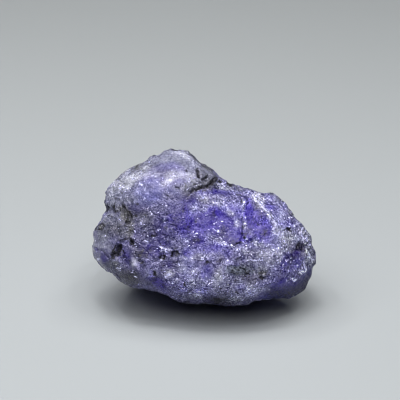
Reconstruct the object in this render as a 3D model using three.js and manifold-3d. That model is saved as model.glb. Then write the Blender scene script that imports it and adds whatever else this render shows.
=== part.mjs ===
// Rough tanzanite: one thumb-sized lump of granular violet-blue zoisite, broken from
// its seam and left as found. Millimetres, +Z up, the broad granular face towards -Y.
//
// The stone is one solid. Its widest section lies on a plane that leans back from the
// vertical, and everything else is given as depth in front of or behind that plane.
import * as THREE from "three";
import { mergeVertices } from "three/addons/utils/BufferGeometryUtils.js";
import Module from "manifold-3d";

// ---------------------------------------------------------------- driving dimensions
const TILT = THREE.MathUtils.degToRad(25); // lean of the widest section's plane
const SHEAR = 0.22;        // the lower rim stands forward and the crest stands back
const DEPTH_NEAR = 7.9;    // swell of the granular face in front of the section
const DEPTH_FAR = 8.6;     // swell of the rear in back of the section
const ROUND_NEAR = 2.4;    // exponent of the near profile, 2 is an ellipse
const ROUND_FAR = 2.15;    // exponent of the rear profile
const SQUARE_UNDER = 4.2;  // how much squarer the rear profile gets underneath
const SQUARE_BROW = 1.4;   // and the near profile over its lower rim
const EDGE_REACH = 0.2;    // how far the rim's notches run on to the faces, of the radius
const RIM_BLUR = 1.6;      // smoothing of the rim, half degrees
const FACE_BLUR = 22.0;    // smoothing of the rim's shape away from it, half degrees
const BREAK_ROUND = 0.6;   // rounding where planar breaks meet the lump
const REST_CUT = 1.4;      // depth of the flat worn on the lowest bump, the resting spot
const GRAIN_NEAR = 0.45;   // share of the lumpiness on the granular face
const GRAIN_FAR = 1.1;     // and on the rear
const DIVISIONS = 17;      // divisions of each edge of the starting icosahedron

// Widest section of the stone, from the crest round by its right-hand end: across, up.
const RIM = [
  [-4.86, 11.29], [-3.67, 11.15], [-2.24, 10.76], [-1.04, 9.72], [0.14, 8.86], [1.33, 8.15],
  [2.29, 7.19], [3.0, 6.72], [3.96, 6.29], [5.0, 6.0], [5.62, 5.57], [6.82, 5.29],
  [8.0, 4.79], [8.36, 4.96], [9.67, 4.96], [10.5, 4.36], [11.33, 3.62], [12.29, 2.43],
  [12.76, 1.71], [13.83, 0.64], [14.43, -0.19], [15.15, -1.39], [15.5, -2.57], [16.05, -4.12],
  [15.98, -4.96], [15.68, -6.14], [15.62, -7.33], [14.9, -8.53], [14.08, -9.72], [13.25, -10.29],
  [12.29, -10.33], [10.15, -10.19], [8.29, -10.35], [6.57, -10.67], [5.0, -11.06], [3.96, -11.2],
  [2.64, -11.12], [1.33, -11.03], [-0.81, -10.96], [-2.0, -10.75], [-3.67, -10.36], [-4.72, -9.86],
  [-5.43, -9.43], [-6.29, -9.15], [-7.43, -8.79], [-8.57, -8.63], [-9.62, -8.47], [-10.82, -8.17],
  [-11.53, -7.82], [-12.36, -7.1], [-13.32, -6.5], [-14.15, -6.19], [-14.86, -5.54], [-15.46, -4.72],
  [-15.86, -3.89], [-15.98, -2.82], [-15.83, -2.1], [-15.98, -0.9], [-15.33, 0.29], [-14.62, 1.47],
  [-14.1, 2.31], [-14.25, 3.03], [-14.36, 3.62], [-14.15, 4.33], [-14.26, 4.93], [-13.68, 5.76],
  [-12.72, 6.83], [-11.53, 7.79], [-10.33, 8.62], [-8.9, 9.15], [-8.19, 9.69], [-7.36, 10.33],
  [-6.86, 10.35], [-6.29, 10.52], [-5.57, 11.03],
];

// Planar breaks: a point on the plane (across, up, out) and its outward direction.
const BREAKS = [
  { at: [11.3, -5.0, 5.8], out: [0.72, -0.30, 0.62] },   // right end, a clean parting
  { at: [10.5, -9.0, 3.0], out: [0.25, -0.88, 0.40] },   // undercut at the lower right
  { at: [0.0, -9.9, 3.0], out: [-0.05, -0.93, 0.36] },   // undercut along the lower rim
  { at: [3.5, 4.6, -5.0], out: [0.30, 0.70, -0.65] },    // rear, top
  { at: [-9.6, 3.0, -5.0], out: [-0.66, 0.34, -0.67] },  // rear, left
  { at: [10.4, -1.0, -5.0], out: [0.70, 0.22, -0.68] },  // rear, right
  { at: [-3.0, 1.0, -7.6], out: [-0.10, 0.12, -0.99] },  // rear, middle
  { at: [9.5, -6.5, -5.4], out: [0.62, -0.30, -0.72] },  // rear, lower right
];

// Swells of the near face: centre, half sizes, turn in degrees, height.
const SWELLS = [
  [-6.8, 6.3, 6.6, 3.0, 22, 1.05],   // pale upper lobe
  [3.0, 1.2, 8.0, 4.0, -12, 0.75],   // main granular mass
  [9.4, 2.4, 2.2, 3.0, 35, 0.65],    // right shoulder
  [-14.2, -1.9, 1.9, 2.2, 0, 1.1],   // left knob
  [-14.3, -4.9, 1.5, 1.3, -35, 0.8], // glassy knob under it
  [-10.6, -6.9, 2.2, 1.5, 0, 0.5],   // lower left
  [-3.0, -6.6, 5.5, 2.3, -10, 0.45], // lower band, left
  [5.4, -8.6, 4.0, 1.5, 8, 0.35],    // lower band, right
  [13.6, -4.6, 1.4, 1.6, 0, 0.4],    // right end
  [1.1, 1.0, 4.2, 2.1, -8, -0.9],    // dish of deep violet
  [2.8, -4.6, 8.0, 1.6, -6, 0.35],   // ledge under the dish
  [7.4, 0.7, 1.3, 2.3, 20, -0.5],    // hollow right of the groove
];

// Swells of the rear and underside: centre, half sizes, height.
const REAR_SWELLS = [
  [-7.0, -7.0, 5.0, 3.6, 4.8], // left foot
  [4.0, -7.2, 6.5, 4.0, 3.8],  // right foot
  [-6.0, 5.5, 4.5, 3.0, 0.8],  // back of the upper lobe
];

// Clefts of the near face: line, half width and depth at each of its points.
const CLEFTS = [
  { line: [[4.4, 6.2], [2.5, 6.3], [1.1, 6.1], [-0.1, 5.6], [-1.2, 5.1], [-2.4, 4.7], [-3.5, 4.2], [-5.4, 3.4]],
    half: [0.55, 0.6, 0.65, 0.7, 0.8, 0.9, 1.0, 1.2], deep: [1.0, 1.1, 1.0, 0.9, 0.7, 0.5, 0.35, 0.1] },
  { line: [[5.3, 4.3], [5.7, 3.1], [5.8, 1.7], [5.9, 0.3], [5.7, -1.1], [5.1, -2.2]],
    half: [0.7, 0.7, 0.7, 0.7, 0.7, 0.7], deep: [0.2, 0.45, 0.5, 0.5, 0.4, 0.2] },
  { line: [[-15.6, -2.7], [-14.3, -3.9], [-13.1, -5.0], [-12.2, -6.2]],
    half: [0.75, 0.75, 0.75, 0.75], deep: [0.3, 0.5, 0.5, 0.3] },
  { line: [[-13.0, 0.8], [-12.4, -1.0], [-12.2, -2.6], [-12.6, -4.0]],
    half: [0.9, 0.9, 0.9, 0.9], deep: [0.2, 0.6, 0.8, 0.7] },
  { line: [[12.0, -1.6], [13.5, -2.3], [14.8, -3.2]],
    half: [0.85, 0.85, 0.85], deep: [0.2, 0.8, 0.4] },
];

// Lumpiness, as waves through the stone: direction and pitch, phase, height.
const LUMPS = [
  [0.62, 0.35, -0.48, 0.3, 0.30], [-0.41, 0.71, 0.52, 1.9, 0.26],
  [0.93, -0.66, 0.31, 4.1, 0.17], [0.25, 1.15, -0.83, 2.6, 0.15],
  [-1.22, 0.42, 0.95, 0.7, 0.11], [0.77, 1.31, 1.12, 5.2, 0.10],
  [1.9, -0.8, 1.4, 3.3, 0.06], [-0.9, 2.1, -1.3, 1.2, 0.06],
];

// ---------------------------------------------------------------- rim as radius by angle
const STEPS = 720;

function rimRadii() {
  const radii = new Array(STEPS).fill(0);
  for (let k = 0; k < STEPS; k++) {
    const angle = ((k + 0.5) * 2 * Math.PI) / STEPS;
    const dx = Math.cos(angle), dy = Math.sin(angle);
    for (let i = 0; i < RIM.length; i++) {
      const [x1, y1] = RIM[i], [x2, y2] = RIM[(i + 1) % RIM.length];
      const ex = x2 - x1, ey = y2 - y1;
      const det = ex * dy - dx * ey;
      if (Math.abs(det) < 1e-12) continue;
      const reach = (ex * y1 - x1 * ey) / det;
      const along = (dx * y1 - dy * x1) / det;
      if (along >= -1e-9 && along <= 1 + 1e-9 && reach > radii[k]) radii[k] = reach;
    }
  }
  return radii;
}

function blurred(radii, sigma) {
  const reach = Math.floor(3 * sigma) + 1;
  let total = 0;
  const weights = [];
  for (let j = -reach; j <= reach; j++) {
    weights.push(Math.exp(-0.5 * (j / sigma) ** 2));
    total += weights[weights.length - 1];
  }
  return radii.map((_, k) => {
    let sum = 0;
    for (let j = -reach; j <= reach; j++) sum += weights[j + reach] * radii[(k - j + 10 * STEPS) % STEPS];
    return sum / total;
  });
}

const rim = rimRadii();
const rimSharp = blurred(rim, RIM_BLUR);
const rimSoft = blurred(rim, FACE_BLUR);

function lookUp(table, angle) {
  const turn = angle / (2 * Math.PI);
  const x = (turn - Math.floor(turn)) * STEPS - 0.5;
  const i = Math.floor(x), f = x - i;
  return table[(i + STEPS) % STEPS] * (1 - f) + table[(i + 1) % STEPS] * f;
}

const smooth = (a, b, x) => {
  const t = Math.min(1, Math.max(0, (x - a) / (b - a)));
  return t * t * (3 - 2 * t);
};

// ---------------------------------------------------------------- surface
function cleft(u, v, { line, half, deep }) {
  let best = 0;
  for (let i = 0; i + 1 < line.length; i++) {
    const [x1, y1] = line[i], [x2, y2] = line[i + 1];
    const ex = x2 - x1, ey = y2 - y1;
    const t = Math.min(1, Math.max(0, ((u - x1) * ex + (v - y1) * ey) / (ex * ex + ey * ey)));
    const away = Math.hypot(u - x1 - t * ex, v - y1 - t * ey);
    const w = half[i] * (1 - t) + half[i + 1] * t;
    const d = deep[i] * (1 - t) + deep[i + 1] * t;
    best = Math.max(best, d * Math.exp(-((away / w) ** 2)));
  }
  return best;
}

function lumps(u, v, w) {
  let sum = 0;
  for (const [a, b, c, phase, height] of LUMPS) sum += height * Math.sin(a * u + b * v + c * w + phase);
  return sum;
}

// Point of the surface in direction (a, b, c): across, up and out of the section's plane.
function surface(a, b, c) {
  const angle = Math.atan2(b, a), flat = Math.hypot(a, b), low = Math.max(0, -Math.sin(angle));
  const soft = lookUp(rimSoft, angle), sharp = lookUp(rimSharp, angle);
  const radius = soft + (sharp - soft) * Math.exp(-((c / EDGE_REACH) ** 2));
  const n = c >= 0 ? ROUND_NEAR + SQUARE_BROW * low * low : ROUND_FAR + SQUARE_UNDER * low * low;
  const depth = c >= 0 ? DEPTH_NEAR : DEPTH_FAR;
  let r = ((flat / radius) ** n + (Math.abs(c) / depth) ** n) ** (-1 / n);
  for (const { at, out } of BREAKS) {
    const size = Math.hypot(...out);
    const [x, y, z] = out.map((q) => q / size);
    const facing = a * x + b * y + c * z;
    const plane = facing > 0.05 ? (at[0] * x + at[1] * y + at[2] * z) / facing : 1e3;
    const m = Math.min(1, Math.max(0, 0.5 + (0.5 * (plane - r)) / BREAK_ROUND));
    r = plane * (1 - m) + r * m - BREAK_ROUND * m * (1 - m);
  }
  const u = a * r, v = b * r, w = c * r;
  let near = 0;
  for (const [x, y, su, sv, turn, height] of SWELLS) {
    const q = THREE.MathUtils.degToRad(turn), du = u - x, dv = v - y;
    const p1 = (du * Math.cos(q) + dv * Math.sin(q)) / su, p2 = (-du * Math.sin(q) + dv * Math.cos(q)) / sv;
    near += height * Math.exp(-(p1 * p1 + p2 * p2) * 0.9);
  }
  for (const c1 of CLEFTS) near -= cleft(u, v, c1);
  let far = 0;
  for (const [x, y, su, sv, height] of REAR_SWELLS) {
    far += height * Math.exp(-(((u - x) / su) ** 2 + ((v - y) / sv) ** 2));
  }
  const lump = lumps(u, v, w);
  const out = w + smooth(0.3, 3.2, w) * (near + GRAIN_NEAR * lump)
    - smooth(0.3, 3.2, -w) * (far + GRAIN_FAR * lump) - SHEAR * v;
  return new THREE.Vector3(
    u,
    v * Math.sin(TILT) - out * Math.cos(TILT),
    v * Math.cos(TILT) + out * Math.sin(TILT),
  );
}

// ---------------------------------------------------------------- solids
const wasm = await Module();
wasm.setup();

function toSolid(geometry) {
  geometry.deleteAttribute("normal");
  geometry.deleteAttribute("uv");
  const merged = mergeVertices(geometry, 1e-5);
  return new wasm.Manifold(new wasm.Mesh({
    numProp: 3,
    vertProperties: new Float32Array(merged.attributes.position.array),
    triVerts: new Uint32Array(merged.index.array),
  }));
}

function toGeometry(solid) {
  const mesh = solid.getMesh();
  const geometry = new THREE.BufferGeometry();
  geometry.setAttribute("position", new THREE.BufferAttribute(new Float32Array(mesh.vertProperties), 3));
  geometry.setIndex(new THREE.BufferAttribute(new Uint32Array(mesh.triVerts), 1));
  return geometry;
}

let lump = new THREE.IcosahedronGeometry(1, DIVISIONS - 1);
lump.deleteAttribute("normal");
lump.deleteAttribute("uv");
lump = mergeVertices(lump, 1e-5);
const spots = lump.attributes.position;
for (let i = 0; i < spots.count; i++) {
  const d = new THREE.Vector3().fromBufferAttribute(spots, i).normalize();
  const p = surface(d.x, d.y, d.z);
  spots.setXYZ(i, p.x, p.y, p.z);
}
lump.computeBoundingBox();

// The flat that the stone rests on, worn into its lowest bumps.
const floor = lump.boundingBox.min.z + REST_CUT;
const below = new THREE.BoxGeometry(80, 80, 20);
below.translate(0, 0, floor - 10);
const stone = toGeometry(toSolid(lump).subtract(toSolid(below)));

// Origin on the surface it rests on, under the middle of its box.
stone.computeBoundingBox();
const box = stone.boundingBox;
stone.translate(-(box.min.x + box.max.x) / 2, -(box.min.y + box.max.y) / 2, -box.min.z);
stone.computeVertexNormals();

const rough_tanzanite = new THREE.Mesh(stone, new THREE.MeshStandardMaterial({
  color: 0x77739f, roughness: 0.5, metalness: 0.0,
}));
rough_tanzanite.name = "rough_tanzanite";

const group = new THREE.Group();
group.add(rough_tanzanite);

export default group;
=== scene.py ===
"""Rough tanzanite: the look of the stone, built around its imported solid.

The stone is one mesh. Its body follows the same rim, swells, breaks and clefts as the solid, and the
crystal grains, pits, cracks and black specks are cut into that body, so that they are real relief.
"""

import math

import bpy
import numpy as np
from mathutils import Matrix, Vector


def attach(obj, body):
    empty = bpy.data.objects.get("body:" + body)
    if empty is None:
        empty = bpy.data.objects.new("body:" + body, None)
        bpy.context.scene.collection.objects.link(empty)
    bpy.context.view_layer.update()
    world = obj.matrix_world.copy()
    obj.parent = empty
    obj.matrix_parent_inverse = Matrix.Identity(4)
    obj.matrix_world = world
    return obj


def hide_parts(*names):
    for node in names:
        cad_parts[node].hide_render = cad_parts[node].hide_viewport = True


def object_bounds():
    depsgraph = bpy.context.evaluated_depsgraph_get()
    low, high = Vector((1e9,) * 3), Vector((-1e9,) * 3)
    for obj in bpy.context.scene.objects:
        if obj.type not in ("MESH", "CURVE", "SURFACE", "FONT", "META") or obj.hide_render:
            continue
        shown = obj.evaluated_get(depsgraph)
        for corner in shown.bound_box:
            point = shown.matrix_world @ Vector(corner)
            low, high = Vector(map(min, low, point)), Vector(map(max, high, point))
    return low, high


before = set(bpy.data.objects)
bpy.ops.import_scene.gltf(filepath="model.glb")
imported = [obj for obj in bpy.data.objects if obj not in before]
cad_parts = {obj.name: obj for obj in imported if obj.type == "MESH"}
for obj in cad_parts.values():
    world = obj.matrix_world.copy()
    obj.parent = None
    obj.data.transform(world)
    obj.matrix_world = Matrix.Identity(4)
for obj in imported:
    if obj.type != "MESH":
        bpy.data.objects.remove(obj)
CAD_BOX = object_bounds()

# ------------------------------------------------------------------ the stone's body, in millimetres
TILT = math.radians(25.0)          # lean of the widest section's plane, and the view's elevation
SHIFT = np.array([0.0332, 0.6075, 11.0670])  # from the section's centre to the row's origin
DEPTH_NEAR, DEPTH_FAR = 7.9, 8.6
ROUND_NEAR, ROUND_FAR, SQUARE_UNDER, SQUARE_BROW = 2.4, 2.15, 4.2, 1.4
SHEAR = 0.22
EDGE_REACH = 0.2
BREAK_ROUND = 0.6

RIM = np.array([
    (-4.86, 11.29), (-3.67, 11.15), (-2.24, 10.76), (-1.04, 9.72), (0.14, 8.86), (1.33, 8.15),
    (2.29, 7.19), (3.0, 6.72), (3.96, 6.29), (5.0, 6.0), (5.62, 5.57), (6.82, 5.29),
    (8.0, 4.79), (8.36, 4.96), (9.67, 4.96), (10.5, 4.36), (11.33, 3.62), (12.29, 2.43),
    (12.76, 1.71), (13.83, 0.64), (14.43, -0.19), (15.15, -1.39), (15.5, -2.57), (16.05, -4.12),
    (15.98, -4.96), (15.68, -6.14), (15.62, -7.33), (14.9, -8.53), (14.08, -9.72), (13.25, -10.29),
    (12.29, -10.33), (10.15, -10.19), (8.29, -10.35), (6.57, -10.67), (5.0, -11.06), (3.96, -11.2),
    (2.64, -11.12), (1.33, -11.03), (-0.81, -10.96), (-2.0, -10.75), (-3.67, -10.36), (-4.72, -9.86),
    (-5.43, -9.43), (-6.29, -9.15), (-7.43, -8.79), (-8.57, -8.63), (-9.62, -8.47), (-10.82, -8.17),
    (-11.53, -7.82), (-12.36, -7.1), (-13.32, -6.5), (-14.15, -6.19), (-14.86, -5.54), (-15.46, -4.72),
    (-15.86, -3.89), (-15.98, -2.82), (-15.83, -2.1), (-15.98, -0.9), (-15.33, 0.29), (-14.62, 1.47),
    (-14.1, 2.31), (-14.25, 3.03), (-14.36, 3.62), (-14.15, 4.33), (-14.26, 4.93), (-13.68, 5.76),
    (-12.72, 6.83), (-11.53, 7.79), (-10.33, 8.62), (-8.9, 9.15), (-8.19, 9.69), (-7.36, 10.33),
    (-6.86, 10.35), (-6.29, 10.52), (-5.57, 11.03),
])

BREAKS = [
    ((11.3, -5.0, 5.8), (0.72, -0.30, 0.62)),
    ((10.5, -9.0, 3.0), (0.25, -0.88, 0.40)),
    ((0.0, -9.9, 3.0), (-0.05, -0.93, 0.36)),
    ((3.5, 4.6, -5.0), (0.30, 0.70, -0.65)),
    ((-9.6, 3.0, -5.0), (-0.66, 0.34, -0.67)),
    ((10.4, -1.0, -5.0), (0.70, 0.22, -0.68)),
    ((-3.0, 1.0, -7.6), (-0.10, 0.12, -0.99)),
    ((9.5, -6.5, -5.4), (0.62, -0.30, -0.72)),
]
SWELLS = [
    (-6.8, 6.3, 6.6, 3.0, 22, 1.05), (3.0, 1.2, 8.0, 4.0, -12, 0.75), (9.4, 2.4, 2.2, 3.0, 35, 0.65),
    (-14.2, -1.9, 1.9, 2.2, 0, 1.1), (-14.3, -4.9, 1.5, 1.3, -35, 0.8), (-10.6, -6.9, 2.2, 1.5, 0, 0.5),
    (-3.0, -6.6, 5.5, 2.3, -10, 0.45), (5.4, -8.6, 4.0, 1.5, 8, 0.35), (13.6, -4.6, 1.4, 1.6, 0, 0.4),
    (1.1, 1.0, 4.2, 2.1, -8, -0.9), (2.8, -4.6, 8.0, 1.6, -6, 0.35), (7.4, 0.7, 1.3, 2.3, 20, -0.5),
]
REAR_SWELLS = [(-7.0, -7.0, 5.0, 3.6, 4.8), (4.0, -7.2, 6.5, 4.0, 3.8), (-6.0, 5.5, 4.5, 3.0, 0.8)]
LUMPS = [
    (0.62, 0.35, -0.48, 0.3, 0.30), (-0.41, 0.71, 0.52, 1.9, 0.26), (0.93, -0.66, 0.31, 4.1, 0.17),
    (0.25, 1.15, -0.83, 2.6, 0.15), (-1.22, 0.42, 0.95, 0.7, 0.11), (0.77, 1.31, 1.12, 5.2, 0.10),
    (1.9, -0.8, 1.4, 3.3, 0.06), (-0.9, 2.1, -1.3, 1.2, 0.06),
]
# Places on the near face are given where they are seen from the front at the view's elevation, in
# steps of PITCH across and down, with the section's centre at CENTRE.
PITCH = 0.1429
CENTRE = (204.0, 227.0)
REACH = 233.0                      # from the section's centre to the eye


def smooth(a, b, x):
    t = np.clip((x - a) / (b - a), 0, 1)
    return t * t * (3 - 2 * t)


def rounded(line):
    """Twice as many points on a smooth closed curve through the given ones."""
    before, after, far = np.roll(line, 1, axis=0), np.roll(line, -1, axis=0), np.roll(line, -2, axis=0)
    return np.stack([line, (9 * (line + after) - before - far) / 16], 1).reshape(-1, 2)


def rim_tables(steps=720):
    rim = rounded(rounded(RIM))
    angle = (np.arange(steps) + 0.5) * 2 * np.pi / steps
    dx, dy = np.cos(angle), np.sin(angle)
    radii = np.zeros(steps)
    for (x1, y1), (x2, y2) in zip(rim, np.roll(rim, -1, axis=0)):
        ex, ey = x2 - x1, y2 - y1
        det = ex * dy - dx * ey
        with np.errstate(all="ignore"):
            reach = (ex * y1 - x1 * ey) / det
            along = (dx * y1 - dy * x1) / det
        hit = (along >= -1e-9) & (along <= 1 + 1e-9) & (reach > radii)
        radii = np.where(hit, reach, radii)

    def blurred(line, sigma):
        m = int(3 * sigma) + 1
        k = np.exp(-0.5 * (np.arange(-m, m + 1) / sigma) ** 2)
        k /= k.sum()
        return sum(k[j] * np.roll(line, j - m) for j in range(2 * m + 1))

    sharp = blurred(radii, 1.1)
    return sharp, blurred(np.minimum(blurred(radii, 22.0), sharp), 3.0)


RIM_SHARP, RIM_SOFT = rim_tables()


def look_up(table, angle):
    x = (angle % (2 * np.pi)) / (2 * np.pi) * len(table) - 0.5
    i = np.floor(x).astype(int)
    f = x - i
    return table[i % len(table)] * (1 - f) + table[(i + 1) % len(table)] * f


def body(d):
    """Surface points across, up and out of the section for directions d, and how far out they were before the lean."""
    a, b, c = d.T
    angle, flat = np.arctan2(b, a), np.hypot(a, b)
    soft, sharp = look_up(RIM_SOFT, angle), look_up(RIM_SHARP, angle)
    radius = soft + (sharp - soft) * np.exp(-((c / EDGE_REACH) ** 2))
    low = np.maximum(0, -np.sin(angle))
    n = np.where(c >= 0, ROUND_NEAR + SQUARE_BROW * low**2, ROUND_FAR + SQUARE_UNDER * low**2)
    depth = np.where(c >= 0, DEPTH_NEAR, DEPTH_FAR)
    r = ((flat / radius) ** n + (np.abs(c) / depth) ** n) ** (-1 / n)
    for at, out in BREAKS:
        out = np.array(out) / np.linalg.norm(out)
        facing = d @ out
        plane = np.where(facing > 0.05, np.dot(out, at) / np.maximum(facing, 0.05), 1e3)
        m = np.clip(0.5 + 0.5 * (plane - r) / BREAK_ROUND, 0, 1)
        r = plane * (1 - m) + r * m - BREAK_ROUND * m * (1 - m)
    u, v, w = a * r, b * r, c * r
    near = np.zeros_like(u)
    for x, y, su, sv, turn, height in SWELLS:
        q, du, dv = math.radians(turn), u - x, v - y
        p1 = (du * math.cos(q) + dv * math.sin(q)) / su
        p2 = (-du * math.sin(q) + dv * math.cos(q)) / sv
        near += height * np.exp(-(p1**2 + p2**2) * 0.9)
    far = np.zeros_like(u)
    for x, y, su, sv, height in REAR_SWELLS:
        far += height * np.exp(-(((u - x) / su) ** 2 + ((v - y) / sv) ** 2))
    lump = sum(h * np.sin(i * u + j * v + k * w + p) for i, j, k, p, h in LUMPS)
    out = w + smooth(0.3, 3.2, w) * (near + 0.45 * lump) - smooth(0.3, 3.2, -w) * (far + 1.1 * lump) - SHEAR * v
    return u, v, out, w


def to_row(u, v, w):
    s, c = math.sin(TILT), math.cos(TILT)
    return np.stack([u, v * s - w * c, v * c + w * s], 1) + SHIFT


# ------------------------------------------------------------------ noise, the same on every run
def hashed(i, j, k, seed):
    """Numbers from 0 to 1 for whole-number places."""
    h = (i.astype(np.int64) * 73856093) ^ (j.astype(np.int64) * 19349663) ^ (k.astype(np.int64) * 83492791)
    h = (h ^ (seed * 2654435761)) & 0xFFFFFFFF
    for _ in range(2):
        h = ((h ^ (h >> 16)) * 0x45D9F3B) & 0xFFFFFFFF
    h = h ^ (h >> 16)
    return (h & 0xFFFFFF) / float(0x1000000)


def value_noise(p, size, seed):
    """Smooth noise from -1 to 1 with features about size across."""
    q = p / size
    i = np.floor(q)
    f = q - i
    f = f * f * f * (f * (f * 6 - 15) + 10)
    i = i.astype(np.int64)
    total = 0
    for a in (0, 1):
        for b in (0, 1):
            for c in (0, 1):
                w = (f[:, 0] if a else 1 - f[:, 0]) * (f[:, 1] if b else 1 - f[:, 1]) * (f[:, 2] if c else 1 - f[:, 2])
                total = total + w * hashed(i[:, 0] + a, i[:, 1] + b, i[:, 2] + c, seed)
    return 2 * total - 1


def fbm(p, size, seed, octaves=4, gain=0.5):
    total, height, norm = 0, 1.0, 0.0
    for k in range(octaves):
        total = total + height * value_noise(p + 13.7 * k, size / 2**k, seed + k)
        norm += height
        height *= gain
    return total / norm


def cells(p, size, seed, jitter=0.9):
    """Nearest and second nearest distance to scattered grain centres, the offset from the nearest, and three numbers of its own."""
    q = p / size
    base = np.floor(q).astype(np.int64)
    best = np.full(len(p), 1e9)
    second = np.full(len(p), 1e9)
    offset = np.zeros_like(p)
    own = np.zeros((len(p), 3), np.int64)
    for a in (-1, 0, 1):
        for b in (-1, 0, 1):
            for c in (-1, 0, 1):
                cell = base + (a, b, c)
                i, j, k = cell.T
                at = cell + 0.5 + jitter * (np.stack([hashed(i, j, k, seed + s) for s in (1, 2, 3)], 1) - 0.5)
                gap = q - at
                d = (gap**2).sum(1)
                closer = d < best
                second = np.where(closer, best, np.minimum(second, d))
                best = np.where(closer, d, best)
                offset = np.where(closer[:, None], gap, offset)
                own = np.where(closer[:, None], cell, own)
    rnd = np.stack([hashed(own[:, 0], own[:, 1], own[:, 2], seed + s) for s in (11, 12, 13, 14, 15)], 1)
    return np.sqrt(best) * size, np.sqrt(second) * size, offset * size, rnd


# ------------------------------------------------------------------ mesh
def geodesic(f):
    """Sphere of 20 f^2 triangles, and each triangle's corners within its patch."""
    t = (1 + 5**0.5) / 2
    corners = np.array([(-1, t, 0), (1, t, 0), (-1, -t, 0), (1, -t, 0), (0, -1, t), (0, 1, t), (0, -1, -t), (0, 1, -t),
                        (t, 0, -1), (t, 0, 1), (-t, 0, -1), (-t, 0, 1)], float)
    faces = [(0, 11, 5), (0, 5, 1), (0, 1, 7), (0, 7, 10), (0, 10, 11), (1, 5, 9), (5, 11, 4), (11, 10, 2), (10, 7, 6), (7, 1, 8),
             (3, 9, 4), (3, 4, 2), (3, 2, 6), (3, 6, 8), (3, 8, 9), (4, 9, 5), (2, 4, 11), (6, 2, 10), (8, 6, 7), (9, 8, 1)]
    i, j = np.meshgrid(np.arange(f + 1), np.arange(f + 1), indexing="ij")
    keep = i + j <= f
    i, j = i[keep], j[keep]
    number = np.full((f + 2, f + 2), -1)
    number[i, j] = np.arange(len(i))
    a, b = np.meshgrid(np.arange(f), np.arange(f), indexing="ij")
    up = a + b < f
    up_faces = np.stack([number[a[up], b[up]], number[a[up] + 1, b[up]], number[a[up], b[up] + 1]], 1)
    dn = a + b < f - 1
    dn_faces = np.stack([number[a[dn] + 1, b[dn]], number[a[dn] + 1, b[dn] + 1], number[a[dn], b[dn] + 1]], 1)
    local = np.concatenate([up_faces, dn_faces])
    points, tris = [], []
    for x, y, z in faces:
        A, B, C = corners[x], corners[y], corners[z]
        tris.append(local + len(points) * len(i))
        points.append(A + (B - A) * (i / f)[:, None] + (C - A) * (j / f)[:, None])
    points = np.concatenate(points)
    points /= np.linalg.norm(points, axis=1)[:, None]
    _, first, back = np.unique(np.round(points, 7), axis=0, return_index=True, return_inverse=True)
    return points[first], back.reshape(-1)[np.concatenate(tris)], np.stack([i, j], 1)[local] / f


def laid_flat(local, margin=0.01):
    """The twenty patches two to a square, in four by three squares."""
    sheets = []
    for patch in range(20):
        at = margin + (1 - 3.4 * margin) * local
        sheets.append(((1 - at if patch % 2 else at) + (patch // 2 % 4, patch // 8)) / (4, 3))
    return np.concatenate(sheets)


def normals_of(p, tris):
    a, b, c = p[tris[:, 0]], p[tris[:, 1]], p[tris[:, 2]]
    n = np.cross(b - a, c - a)
    total = np.zeros_like(p)
    for k in range(3):
        np.add.at(total, tris[:, k], n)
    return total / np.maximum(np.linalg.norm(total, axis=1), 1e-12)[:, None]


def lines_near(x, y, line):
    """Distance to a drawn line, and how far along it, from 0 to 1."""
    best, along = np.full(len(x), 1e9), np.zeros(len(x))
    for i, ((x1, y1), (x2, y2)) in enumerate(zip(line, line[1:])):
        ex, ey = x2 - x1, y2 - y1
        t = np.clip(((x - x1) * ex + (y - y1) * ey) / (ex * ex + ey * ey), 0, 1)
        d = np.hypot(x - x1 - t * ex, y - y1 - t * ey)
        closer = d < best
        best = np.where(closer, d, best)
        along = np.where(closer, (i + t) / (len(line) - 1), along)
    return best, along


def inside(x, y, loop):
    """Distance to a closed outline, positive within it."""
    within = np.zeros(len(x), bool)
    for (x1, y1), (x2, y2) in zip(loop, loop[1:] + loop[:1]):
        if y1 != y2:
            within ^= ((y1 > y) != (y2 > y)) & (x < (x2 - x1) * (y - y1) / (y2 - y1) + x1)
    return np.where(within, 1, -1) * lines_near(x, y, loop + loop[:1])[0]


def blobs(x, y, items, power=1.0):
    """Sum of soft patches: centre, half sizes, turn in degrees, strength."""
    total = np.zeros(len(x))
    for cx, cy, rx, ry, turn, strength in items:
        q = math.radians(turn)
        dx, dy = x - cx, y - cy
        p1, p2 = (dx * math.cos(q) + dy * math.sin(q)) / rx, (-dx * math.sin(q) + dy * math.cos(q)) / ry
        total += strength * np.exp(-((p1**2 + p2**2) ** power))
    return total


FREQ = 97
directions, tris, local = geodesic(FREQ)
# more of the mesh goes where the stone is longer, and to the near side
directions = directions * (16.0**0.5, 11.0**0.5, 8.0**0.5)
directions /= np.linalg.norm(directions, axis=1)[:, None]
directions = directions + (0, 0, 0.16)
directions /= np.linalg.norm(directions, axis=1)[:, None]

u, v, w, w_flat = body(directions)
P = to_row(u, v, w)
N = normals_of(P, tris)
toward = np.array([0.0, -math.cos(TILT), math.sin(TILT)])

# where each point is seen from the front
scale = REACH / (REACH - w)
X = CENTRE[0] + u / PITCH * scale
Y = CENTRE[1] - v / PITCH * scale
front = smooth(-0.6, 1.2, w_flat)
inset = (look_up(RIM_SHARP, np.arctan2(v, u)) - np.hypot(u, v)) / PITCH
wob = 2.2 * fbm(P, 2.6, 41, 3), 2.2 * fbm(P, 2.6, 51, 3)
XW, YW = X + wob[0], Y + wob[1]

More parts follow.
